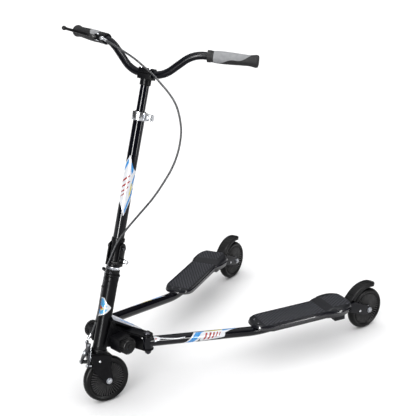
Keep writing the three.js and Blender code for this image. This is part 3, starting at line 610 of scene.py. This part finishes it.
# ---- Fold socket, pin and shoe ----
cheek = [(-12.6, 311), (12.6, 311), (12.8, 360), *arc(0, FOLD_Q, 12.8, 0, 180 * DEG, 18)[1:-1],
    (-12.8, 360)]
socket_parts = [(turned([(13.2, 309.6), (17.6, 309.6), (18.2, 311), (18.2, 316.5), (17, 318), (0, 318)],
    0.7), 0), (side_plate(cheek, 15.4, 18.4), 1.1), (side_plate(cheek, -18.4, -15.4), 1.1),
    (placed(turned([(0, 17), (7.6, 17), (6.6, 20), (6.5, 26.8), (3.4, 26.9), (3.4, 24)], 0.5, 40), ALONG_X,
    move(0, 0, PIN_Q)), 0)]
show("fold_socket", socket_parts, satin_paint, COLUMN, "fold_base")
fold_bolt = [(lathe(soft([(0, -24.8), (2.4, -24.8), (2.7, -23), (3, -24.6), (5.2, -24.4), (6, -23),
    (6, -20.3)], 0.4) + [(4, -20.3), (4, 20.3)], 40), 0), (hexagon(10.4, 20.4, 24), 0.5),
    (turned([(0, 25), (3.4, 25), (3.4, 23.6)], 0.5, 24), 0)]
piece("fold_bolt_visual", [(placed(s, ALONG_X, move(0, 0, FOLD_Q)), b) for s, b in fold_bolt], dark_steel,
    COLUMN, "fold_base", ["fold_pivot_bolt"])
pin = turned([(0, 10), (3, 10), (3, 27.4), (5.4, 27.4), (5.4, 30), (4, 32), (5.3, 35.6), (4.2, 38.2),
    (0, 38.6)], 0.7, 40)
show("pull_pin", [placed(pin, ALONG_X, move(0, 0, PIN_Q))], alloy, COLUMN, "pull_pin")
coil = [(19.6 + 6.8 * t / 60, 3.9 * math.cos(t * 0.63), 3.9 * math.sin(t * 0.63)) for t in range(61)]
show("pull_pin_spring", [placed(sweep(coil, 0.55, 8), move(0, 0, PIN_Q))], steel, COLUMN, "fold_base")
shoe = turned([(0, 322.8), (13, 322.8), (15, 325), (15, 374.5), (17, 374.8), (17, 383.4), (16, 384),
    (14.3, 384)], 0.6)
show("column_shoe", [shoe], satin_paint, COLUMN, "column")

# ---- Column, clamp and inner tube ----
show("column_tube", [turned([(12.7, COLUMN_Q[0]), (14.3, COLUMN_Q[0]), (14.3, COLUMN_Q[1]),
    (12.7, COLUMN_Q[1])], 0.4)], paint, COLUMN, "column")
sleeve = turned([(11.5, 640), (12.3, 640), (12.3, 703.2), (13.9, 703.4), (13.9, 706.4), (12.6, 707),
    (11.5, 707)], 0.3)
show("telescope_sleeve", [sleeve], black_plastic, COLUMN, "column")
gap = 4.2 * DEG
arc_out, arc_in = arc(0, 0, 19, gap, 2 * math.pi - gap, 56), arc(0, 0, 14.7, 2 * math.pi - gap * 1.3,
    gap * 1.3, 56)
middle = sum(CLAMP_Q) / 2
collar = [(plate(arc_out + arc_in, *CLAMP_Q), 0.9), (box(17, 35, 1.2, 8, CLAMP_Q[0] + 2, CLAMP_Q[1] - 2),
    1.6), (box(17, 35, -8, -1.2, CLAMP_Q[0] + 2, CLAMP_Q[1] - 2), 1.6)]
show("clamp_collar", collar, alloy, COLUMN, "column")
clamp_bolt = [(hexagon(10.2, -13.6, -9.4), 0.6), (lathe([(3.4, -8.2), (6, -8.2), (6, -9.4), (3.4, -9.4)],
    40), 0), (lathe([(3, -9), (3, 9)], 24), 0)]
show("clamp_bolt", [(placed(s, ALONG_Y, move(27, 0, middle)), b) for s, b in clamp_bolt], steel, COLUMN,
    "column")
blade = soft([(27, 19.5), (22, 21.4), (14, 24.5), (-28, 25.5), (-33, 23.6), (-30, 21), (8, 20.5),
    (16, 17.5), (22, 13)], 3, closed=True)
lever = [(placed(turned([(0, middle - 7), (5.5, middle - 7), (5.5, middle + 7), (0, middle + 7)], 0.7, 48),
    move(27, 14, 0)), 0), (plate(blade, middle - 5, middle + 5), 1.0)]
show("clamp_lever", lever, alloy, COLUMN, "clamp_lever")
inner = turned([(9.4, 556), (11.1, 556), (11.1, BAR_Q - 15), (9.4, BAR_Q - 15)], 0.3)
show("inner_tube", [inner], paint, COLUMN, "handlebar")

# ---- Stem and handlebar ----
half_hole = arc(0, 0, 9.8, 180 * DEG, 360 * DEG, 24)


def stem_block(low, high, hole_side):
    """A block across the bar with half the bar's bore in it, drawn in the side view."""
    bore = [(y, hole_side * z) for y, z in half_hole]
    corners = soft([(13, low * hole_side), (13, -high * hole_side), (-13, -high * hole_side),
        (-13, low * hole_side)], 3.5, steps=6)
    return side_plate([*corners, *bore], -19, 19)


stem_parts = [(turned([(11.4, -29), (13.4, -29), (14, -28), (14, -13), (0, -13)], 0.6), 0),
    (stem_block(-0.8, 14.6, 1), 1.0)]
STEM = COLUMN @ move(0, 0, BAR_Q)
show("stem", stem_parts, satin_paint, STEM, "handlebar")
show("stem_cap", [(stem_block(-0.8, 13.9, -1), 1.0)], satin_paint, STEM, "handlebar")
cap_screws = []
for x in (-12, 12):
    for y in (-10.2, 10.2):
        profile = [(0, 12.6), (1.7, 12.6), (1.9, 13.9), (2.6, 14), (2.9, 13.4), (2.9, 12.4)]
        head = lathe(soft(profile, 0.2), 24)
        cap_screws.append(placed(head, move(x, y, 0)))
piece("stem_screws", cap_screws, alloy, STEM, "handlebar", ())


bend = Vector((BEND_X, 0, BEND_Q))
tip = bend + grip_direction(1) * (GRIP_START + GRIP_LENGTH - 4)
right_half = [Vector((45, 0, 0)), bend, tip]
left_half = [Vector((-p.x, p.y, p.z)) for p in reversed(right_half)]
bar_path = smooth_path(left_half + right_half, 30, 3.5)
show("handlebar", [sweep(bar_path, 9.5, 40)], bar_paint, STEM, "handlebar", sharp=50)

for label, side in SIDES:
    profile = [(9.7, 0), (13.6, 0), (14.6, 0.8), (14.6, 9.6), (14.2, 10.6), (13.8, 11.2), (13.8, 13),
        (14.9, 24), (15.2, 40), (14.8, 60), (13.8, 82), (13.2, 98), (13.6, 106), (14.6, 112), (15.4, 116),
        (15.4, 119.5), (14, 122.8), (10, 124), (0, 124)]
    grip = placed(lathe(soft(profile, 1.6, steps=3), 72), move(0, 0, GRIP_START))
    show(f"grip_{label}", [grip], grip_look(side), grip_frame(side), "handlebar", sharp=60)

# ---- Brake lever on the right grip ----
RIGHT = grip_frame(-1)
ly, lz = LEVER_PIVOT
bracket = [(turned([(9.8, 19.2), (13.8, 19.2), (14.5, 20), (14.5, 32.6), (13.8, 33.4), (9.8, 33.4)], 0.5),
    0), (box(-7, 7, -32, -11, 19.2, 22), 1.0), (box(3.4, 7, -32, -11, 19.4, 33.2), 1.4),
    (box(-7, -3.4, -32, -11, 19.4, 33.2), 1.4)]
piece("brake_bracket_visual", bracket, satin_paint, RIGHT, "handlebar", ["brake_lever_bracket"])
lever_pin = turned([(0, -9), (2.6, -9), (4.6, -8.4), (5, -7.3), (3, -7.2), (3, 8.6), (0, 8.8)], 0.4, 32)
show("brake_lever_pin", [placed(lever_pin, ALONG_X, move(0, ly, lz))], steel, RIGHT, "handlebar")
knurled = [((4.4 + 0.3 * math.cos(14 * a)) * math.cos(a), (4.4 + 0.3 * math.cos(14 * a)) * math.sin(a))
    for a in np.linspace(0, 2 * math.pi, 112, endpoint=False)]
adjuster = [(turned([(0, 2.9), (3.2, 3), (3.9, 4.6), (3.9, 13), (3.2, 13.4), (3.2, 18.7), (0, 18.7)], 0.4,
    40), 0), (plate(knurled, 6, 12.6), 0.4)]
show("barrel_adjuster", [(placed(s, move(0, ly, 0)), b) for s, b in adjuster], alloy, RIGHT, "handlebar")
blade = soft([(-20, 23.4), (-28.5, 22.6), (-37, 30), (-45, 43), (-48.3, 64), (-49.3, 100), (-47.4, 149),
    (-42, 149), (-43.2, 100), (-41.4, 66), (-36.8, 48), (-21, 34)], 9, closed=True, steps=8)
ball = lathe([(5.8 * math.sin(a), 151 - 6.6 * math.cos(a)) for a in np.linspace(0, math.pi, 20)], 36)
show("brake_lever", [(side_plate(blade, -3.6, 3.6), 1.9), (placed(ball, move(0, -44.6, 0)), 0)],
    black_plastic, RIGHT, "brake_lever", sharp=55)

# ---- Brake cable: four lengths on one route, in the column's frame; the loop rides on the column and the other three are baked in place ----
ROUTE = [
    (-129, -22.6, 865.2), (-101, -27, 857), (-62, -24, 843), (-28, -23, 830), (4, -22, 814), (30, -22, 801),
    (53, -22, 785), (80, -22, 766), (104, -22, 744), (121, -22, 717), (134, -22, 680), (136, -22, 636),
    (128, -22, 592), (111, -22, 549), (89, -22, 505), (63, -22, 464), (38, -22, 425), (14, -24, 380),
    (4, -25, 345), (-3, -26, 310), (-6, -26, 258), (-6, -26, 190), (-11, -27, 145), (-20, -29, 116),
]


def on_column(point):
    return tuple(COLUMN @ Vector(point) * 0.001)


route = catmull(ROUTE, ROUTE_STEPS)
CABLES = (
    ("cable_at_bar", 0, 12, ("handlebar", "column", on_column((20, -22, 806)), on_column((134, -22, 640)))),
    ("cable_loop", 12, 15, "column"),
    ("cable_at_fold", 15, 19, ("column", "fold_base", on_column((38, -22, 425)), on_column((0, -25, 335)))),
    ("cable_at_fork", 19, 23, ("fold_base", "fork", on_column((-3, -26, 305)), on_column((-6, -26, 190)))),
)
for name, first, last, body in CABLES:
    show(name, [sweep(route[first * ROUTE_STEPS:last * ROUTE_STEPS + 1], 2.5, 16)], cable_skin, COLUMN,
        body, sharp=60)
piece("cable_ferrule_bar", [(sweep(route[:5], 3.3), 0.3)], alloy, COLUMN, "handlebar", ())
piece("cable_ferrule_fork", [(sweep(route[-5:], 3.3), 0.3)], alloy, COLUMN, "fork", ())
tie = lathe([(2.5, -2), (3.5, -2), (3.5, 2), (2.5, 2), (2.5, -2)], 24)
ties = [placed(tie, move(*route[round(at * ROUTE_STEPS)])) for at in (20, 21.5)]
piece("cable_clips", ties, black_plastic, COLUMN, "fork")

# ---- Legs ----
def leg_points(side):
    eye = Vector((side * EYE[0], EYE[1], EYE[2]))
    cross = ROW.inverted() @ rear_wheel_frame(side) @ Vector((0, -77, 27))
    return [eye, Vector((side * 165, 412, 92.5)), Vector((side * 186, 485, 91)), cross]


def leg_parts(side):
    x, y, z = EYE
    tube = sweep(smooth_path(leg_points(side), 60, 5), 13.5, 40)
    eye = placed(turned([(6.3, z - 18), (11, z - 18), (12.4, z - 16.8), (12.4, z + 16.8), (11, z + 18),
        (6.3, z + 18)], 0.6), move(side * x, y, 0))
    into_deck = ROW.inverted() @ deck_frame(side)
    into_wheel = ROW.inverted() @ rear_wheel_frame(side)
    tab = placed(box(-32, 32, 268, 292, 92, DECK_TOP - 7.3), into_deck)
    foot = placed(box(-30, 30, 258, 292, 73, 94), into_deck)
    fork_side = [(-79, 14), (-20, -9.6), *arc(0, 0, 11, -100 * DEG, 80 * DEG, 20), (-58, 42), (-79, 42)]
    plates = [placed(side_plate(fork_side, a, b), into_wheel) for a, b in ((17.2, 21.2), (-21.2, -17.2))]
    bosses = [placed(lathe(soft([(4.4, s * 17.0), (10.4, s * 17.0), (10.4, s * 21.3), (4.4, s * 21.3)],
        0.4), 40), ALONG_X, into_wheel) for s in (-1, 1)]
    cross = placed(box(-21.2, 21.2, -79, -74, 14, 42), into_wheel)
    return [(tube, 0), (eye, 0), (tab, 2.0), (foot, 2.0), *((p, 1.1) for p in plates),
        *((b, 0) for b in bosses), (cross, 1.2)]


for label, side in SIDES:
    show(f"leg_{label}", leg_parts(side), paint, ROW, f"leg_{label}", sharp=45)
    plate_bolts = [placed(turned([(0, s * 21.0), (3.4, s * 21.0), (3.4, s * 22.8), (0, s * 22.8)], 0.5),
        ALONG_X, move(0, -38, 8)) for s in (-1, 1)]
    piece(f"leg_plate_bolts_{label}", plate_bolts, alloy, rear_wheel_frame(side), f"leg_{label}", ())


# ---- Decks ----
def quadratic(a, b, c, steps=14):
    a, b, c = Vector(a), Vector(b), Vector(c)
    return [tuple(a * (1 - t) ** 2 + b * (2 * t * (1 - t)) + c * t * t) for t in (k / steps
        for k in range(steps))]


def deck_outline(side, inset=0.0):
    end, w = 320 - inset, 42 - inset
    h, g, m = 49 - inset, 58 - inset, 56 - inset
    points = [(w, 52), (w, 120), (w, 180)]
    points += quadratic((w, 222), (h, 240), (h, 265)) + quadratic((h, 265), (46 - inset, end), (4, end))
    points += quadratic((4, end), (-g, end), (-g, 268)) + quadratic((-g, 268), (-m, 232), (-w, 215))
    points += [(-w, 215), (-w, 160), (-w, 110)] + quadratic((-w, 52), (-w, inset),
        (0, inset)) + quadratic((0, inset), (w, inset), (w, 52))
    return [(side * x, y) for x, y in points]


def heel_pad(side):
    """A smooth raised pad over the heel, as a grid inside the deck's outline."""
    outline = deck_outline(side, 3)
    rows, columns = 40, 30
    vertices = []
    for i in range(rows + 1):
        y = 216 + (316 - 216) * i / rows
        hits = []
        for (xa, ya), (xb, yb) in zip(outline, outline[1:] + outline[:1]):
            if (ya - y) * (yb - y) <= 0 and ya != yb:
                hits.append(xa + (xb - xa) * (y - ya) / (yb - ya))
        low, high = min(hits), max(hits)
        rise = 8 * min(1, max(0, (y - 218) / 26)) ** 1.2 * min(1, max(0, (316 - y) / 12)) ** 0.5
        for k in range(columns + 1):
            u = k / columns
            edge = min(1, min(u, 1 - u) * (high - low) / 7) ** 0.5
            vertices.append((low + (high - low) * u, y, DECK_TOP - 0.6 + (rise + 0.6) * edge))
    return vertices, grid(rows, columns + 1, closed=False)


def outline_band(side, section):
    """A strip round the deck's outline from (inset, height) points for each position along it."""
    rings = [[(x, y, section(y)[i][1]) for x, y in deck_outline(side, section(0)[i][0])]
        for i in range(len(section(0)))]
    return [v for ring in rings for v in ring], grid(len(rings) - 1, len(rings[0]))


def skirt(y):
    """The side wall under the tread: shallow at the toe, deep along the middle, shallower at the heel."""
    deep = 10.5 * min(1, max(0, (y - 6) / 48)) ** 0.7 - 4 * min(1, max(0, (y - 285) / 35))
    low = DECK_TOP - 10.2 - deep
    return [(1.6, DECK_TOP - 1), (0.7, DECK_TOP - 2.6), (0.6, DECK_TOP - 5.2), (-0.6, DECK_TOP - 6.2),
        (-1.2, DECK_TOP - 7.4), (-0.4, DECK_TOP - 8.6), (0.6, DECK_TOP - 9.2), (1.6, low + 1.2),
        (2.6, low - 0.6), (3.8, low), (4.0, DECK_TOP - 6)]


for label, side in SIDES:
    matrix = deck_frame(side)
    slab = plate(deck_outline(side, 1.2), DECK_TOP - 7, DECK_TOP)
    deck = [(slab, 1.6), (outline_band(side, lambda y: [(1.0, DECK_TOP - 2), (2.0, DECK_TOP + 0.9),
        (3.0, DECK_TOP + 0.9), (3.8, DECK_TOP - 0.4)]), 0)]
    show(f"deck_{label}", deck, deck_plastic, matrix, f"leg_{label}", sharp=50)
    piece(f"deck_skirt_{label}", [outline_band(side, skirt)], gloss_plastic, matrix, f"leg_{label}", (),
        sharp=60)
    piece(f"deck_heel_{label}", [heel_pad(side)], deck_plastic, matrix, f"leg_{label}", (),
        sharp=70)
    screws = []
    for x in (-13, 13):
        head = turned([(2, 117.2), (5.4, 117.3), (5, 119), (3.4, 120.2), (2.5, 120.3), (2.4, 118.6),
            (0, 118.4)], 0.5, 40)
        screws.append((placed(head, move(x, 18, 0)), 0))
    screws.append((box(-19, 19, 12, 26, DECK_TOP - 9.5, DECK_TOP - 7.4), 0.4))
    show(f"deck_screws_{label}", screws, dark_steel, matrix, f"leg_{label}")


# ---- Rear mudguards ----
def mudguard_shell():
    section = soft([(-17.4, 71.2), (-17.4, 79.6), (-13, 82.9), (13, 82.9), (17.4, 79.6), (17.4, 71.2),
        (15.2, 71.2), (15.2, 78.6), (12, 80.4), (-12, 80.4), (-15.2, 78.6), (-15.2, 71.2)], 2.2,
        closed=True, steps=4)
    start, end, steps = 143 * DEG, 66 * DEG, 44
    vertices, n = [], len(section)
    for i in range(steps + 1):
        angle = start + (end - start) * i / steps
        left = (angle - end) / (13 * DEG)
        width = 1 if left >= 1 else math.sqrt(max(0.02, 1 - (1 - left) ** 2))
        depth = 1 if left >= 0.4 else math.sqrt(max(0.2, 1 - (1 - left / 0.4) ** 2))
        for x, r in section:
            radius = 82.9 - (82.9 - r) * (depth if r < 79 else 1)
            vertices.append((x * width, radius * math.cos(angle), radius * math.sin(angle)))
    return vertices, grid(steps, n) + end_caps(steps, n)


for label, side in SIDES:
    foot = soft([(-73.8, 18), (-70.2, 18), (-67.5, 40), (-59, 50.5), (-62.5, 56), (-73.8, 44)], 2,
        closed=True)
    bar = box(-11, 11, 82.4, 83.7, -1.1, 1.1)
    ribs = [(placed(bar, turn((80 + 8.5 * k) * DEG, "X")), 0.5) for k in range(7)]
    show(f"rear_mudguard_{label}", [(mudguard_shell(), 0), (side_plate(foot, -14, 14), 1.2), *ribs],
        black_plastic, rear_wheel_frame(side), f"leg_{label}", sharp=42)


# ---- Decals: plain colour shapes wrapped on the tubes, with a painted highlight strip on each leg and a painted reflection on the gusset's top ----
def wrapped(rows, radius, lift, centre):
    """Rows of ((along, around), (along, around)) as a thin skin on a tube about +Z."""
    across, dense = 40, []
    for (a, b), (c, d) in zip(rows, rows[1:]):
        for k in range(5):
            t = k / 5
            dense.append((Vector(a).lerp(Vector(c), t), Vector(b).lerp(Vector(d), t)))
    dense.append((Vector(rows[-1][0]), Vector(rows[-1][1])))
    vertices = []
    for a, b in dense:
        for k in range(across + 1):
            along, around = a.lerp(b, k / across)
            angle = centre + around / radius
            vertices.append(((radius + lift) * math.cos(angle), (radius + lift) * math.sin(angle), along))
    return vertices, grid(len(dense) - 1, across + 1, closed=False)


def bands(*rows):
    """Rows of (along, one edge, other edge)."""
    return [((q, a), (q, b)) for q, a, b in rows]


def decal(name, matrix, body, radius, centre, layers):
    for i, (material, shapes) in enumerate(layers):
        lift = 0.10 + 0.07 * i
        piece(f"{name}_{i + 1}", [wrapped(rows, radius, lift, centre) for rows in shapes], material, matrix,
            body, (), sharp=80)


decal("decal_column", COLUMN, "column", 14.3, -59 * DEG, (
    (white_vinyl, [bands((596, -7, -6), (588, -10, -3), (580, -15, 0), (572, -21, 2), (566, -23, 6),
            (560, -23, 13), (556, -23, 22), (500, -24, 22), (490, -24, 18), (478, -23, 13), (474, -14, 11),
            (466, -8, 8.5), (455, -3, 5.5), (443, 1, 2))]),
    (blue_vinyl, [bands((586, -9, -8), (577, -13, -7), (568, -17, -10), (560, -20, -14), (554, -21, -20)),
        bands((578, 0, 1), (570, 1, 5), (562, 2, 9), (555, 3.5, 8), (549, 5, 6)),
        bands((548, 14, 18), (538, 11, 16), (528, 9.5, 14), (520, 9, 12)),
        bands((514, 14, 17), (500, 11, 17), (488, 8, 13), (474, 4.5, 9), (460, 2, 6), (450, 2, 3))]),
    (yellow_vinyl, [bands((527, 8, 9.5), (515, 7.5, 11.5), (502, 7, 10.5), (492, 7, 8))]),
    (red_vinyl, [bands((546, 0, 3), (539, -8, -2), (531, -17, -11), (526, -21, -18)),
        bands((532, 2, 5), (525, -6, 0), (517, -15, -9), (512, -20, -17)),
        bands((518, 1, 3), (511, -6, -1), (504, -14, -9), (500, -18, -16)),
        bands((504, -2, 0), (498, -8, -4), (492, -14, -11), (489, -17, -16))])))
decal("decal_head_tube", AXIS, "frame", 18, -43 * DEG, (
    (white_vinyl, [bands((228, -23, -9), (222, -25, -5), (214, -26, 1), (209, -27, 9), (205, -27, 13),
            (200, -27, 10), (192, -27, 4), (186, -27, -3), (181, -27, -12), (175, -26, -24))]),
    (pale_vinyl, [bands((226, -19, -11), (218, -19, -7), (210, -18, -2), (206, -16, 2), (204, -14, -4)),
        bands((200, -8, 4), (195, -12, 1), (190, -16, -4), (185, -19, -11))]),
    (blue_vinyl, [bands((224, -23, -15), (216, -24, -14), (210, -24, -13), (206, -22, -18)),
        bands((200, -26, -16), (192, -26, -15), (186, -26, -17), (180, -26, -22))]),
    (yellow_vinyl, [bands((201, -9, -2), (198, -14, -6), (195, -17, -14))]),
    (red_vinyl, [bands((208, -22, -20), (204, -22, -12), (200, -21, -10), (197, -19, -16))])))


def leg_decals(label, side):
    start, end = (ROW @ p for p in leg_points(side)[:2])
    along = (end - start).normalized()
    facing = Vector((side * 0.945, -0.167, 0.279))
    facing = (facing - along * facing.dot(along)).normalized()
    matrix = Matrix((facing, along.cross(facing), along)).transposed().to_4x4()
    matrix.translation = start

    def rows(*points):
        return [((a, side * b), (c, side * d)) for a, b, c, d in points]

    def strip(*points):
        return rows(*((a, b, a, c) for a, b, c in points))

    decal(f"decal_leg_{label}", matrix, f"leg_{label}", 13.5, 0.0, (
        (white_vinyl, [strip((13, -16, 1), (22, -14, -1), (30, -10, -4)),
            # Painted highlight: this thin white strip from 30 to 106 along the leg stands for a highlight
            # along the tube, not print.
            strip((30, -9, -6), (52, -6, -3.4), (80, -3.8, -1), (106, -5, -3)),
            rows((100, 19, 138, 20), (116, 5, 151, 5), (132, -10, 168, -12), (137, -16, 180, -17)),
            strip((152, 8, 10), (158, -8, 12), (168, -15, 12), (200, -17, 9), (220, -18, 7), (231, -18, 5),
                (234, -18, -6), (262, -20, -15), (290, -21, -20))]),
        (blue_vinyl, [rows((108, 17.5, 128, 18.5), (122, 5, 142, 5), (138, -10, 158, -11),
                (143, -15, 172, -16)),
            strip((228, -17, -12), (255, -19, -15), (276, -20, -18))]),
        (yellow_vinyl, [strip((172, -16, -14.6), (200, -17, -14.2), (226, -17.6, -15))]),
        (red_vinyl, [rows((162, 8, 168, 8), (172, -10, 178, -10)),
            rows((175, 8, 181, 8), (185, -10, 191, -10)),
            rows((188, 6, 193, 6), (197, -10, 202, -10)),
            rows((200, 3, 204, 3), (208, -10, 212, -10)),
            rows((211, 0, 214, 0), (217, -9, 220, -9)),
            strip((15, -9, -5), (20, -8, -5))])))


for label, side in SIDES:
    leg_decals(label, side)


def crown(inset, lift, across):
    """The gusset's top as a soft ridge that runs down to the tip."""
    vertices, rows, columns = [], 18, 12
    for i in range(rows + 1):
        t = inset + (1 - 2 * inset) * i / rows
        y, z, rise = 20 + 112 * t, 227 - 76 * t, 13 * (1 - t) ** 0.7 + 1.5
        for k in range(columns + 1):
            u = across[0] + (across[1] - across[0]) * k / columns
            vertices.append((27 * u, y, z + lift + rise * (1 - abs(u) ** 1.6)))
    return vertices, grid(rows, columns + 1, closed=False)


# Painted reflection: the silver sheet over most of the gusset's top stands for the bright reflection on its
# flat top; the blue stripe is a decal.
painted_reflection = vinyl("painted_reflection_silver", (0.42, 0.44, 0.50), (0.55, 0.57, 0.63))
piece("frame_crown", [crown(0, -0.4, (-1, 1))], paint, ROW, "frame", (), sharp=80)
piece("crown_painted_reflection", [crown(0.04, 0.1, (-0.3, 0.93))], painted_reflection, ROW, "frame", (), sharp=80)
piece("decal_crown_2", [crown(0.3, 0.4, (0.34, 0.62))], blue_vinyl, ROW, "frame", (), sharp=80)

# ---- Floor, light and camera ----
floor_look = Look("floor_white", (0.87, 0.87, 0.875), (0.88, 0.88, 0.885), (0.7, 0.8), scale=9, grain=60,
    bump=0.0, specular=0.0)
bpy.ops.mesh.primitive_plane_add(size=60, location=(0, 0, 0))
floor = bpy.context.object
floor.name = "floor"
floor.data.materials.append(floor_look.material)


def strip_light(name, location, size, power):
    """A long lamp that faces the middle of the scooter and shows in its reflections only."""
    data = bpy.data.lights.new(name, "AREA")
    data.shape = "RECTANGLE"
    data.size, data.size_y = size
    data.energy = power
    light = new_object(name, data)
    light.location = location
    light.rotation_euler = (Vector((0, 0, 0.45)) - Vector(location)).to_track_quat("-Z", "Y").to_euler()
    light.visible_diffuse = False


sun_data = bpy.data.lights.new("key_sun", "SUN")
sun_data.energy = 1.3
sun_data.angle = 40 * DEG
sun = new_object("key_sun", sun_data)
sun.rotation_euler = Vector((0.5, -1.35, 1.05)).to_track_quat("Z", "Y").to_euler()
sun.visible_glossy = False
strip_light("strip_left", (1.1, -3.2, 1.4), (0.5, 3.0), 330)
strip_light("strip_right", (3.3, 1.0, 1.3), (0.3, 2.6), 70)
strip_light("strip_above", (0.9, -0.6, 3.4), (2.6, 0.3), 120)

# A dim horizon and a bright sky light the scooter, and the camera sees plain white behind it.
WHITE = (1.0, 1.0, 1.0, 1.0)
world = bpy.data.worlds.new("studio")
bpy.context.scene.world = world
world.use_nodes = True
tree = world.node_tree
direction = add_node(tree, "ShaderNodeTexCoord").outputs["Generated"]
up_part = add_node(tree, "ShaderNodeSeparateXYZ", {0: direction}).outputs["Z"]
strength = add_node(tree, "ShaderNodeMapRange", {"Value": up_part, "From Min": 0.4, "From Max": 0.8,
    "To Min": 0.05, "To Max": 1.72}).outputs[0]
background = tree.nodes["Background"]
background.inputs["Color"].default_value = WHITE
tree.links.new(strength, background.inputs["Strength"])
backdrop = add_node(tree, "ShaderNodeBackground", {"Color": WHITE})
to_camera = add_node(tree, "ShaderNodeLightPath").outputs["Is Camera Ray"]
either = add_node(tree, "ShaderNodeMixShader", {0: to_camera, 1: background.outputs[0],
    2: backdrop.outputs[0]})
tree.links.new(either.outputs[0], tree.nodes["World Output"].inputs["Surface"])

camera_data = bpy.data.cameras.new("camera")
camera_data.sensor_width = 36
camera_data.lens = 77.574808
camera = new_object("camera", camera_data)
right = Vector((0.7179, 0.6959, -0.0192))
up = Vector((-0.2271, 0.2601, 0.9385))
back = Vector((0.6581, -0.6694, 0.3447))
view_matrix = Matrix((right, up, back)).transposed().to_4x4()
view_matrix.translation = (Vector((1632.8, -1261.6, 1274.9)) + Vector(SHIFT)) * 0.001
camera.matrix_world = view_matrix
camera_data.clip_start, camera_data.clip_end = 0.05, 100
scene = bpy.context.scene
scene.camera = camera
scene.view_settings.view_transform = "Standard"
scene.view_settings.look = "None"
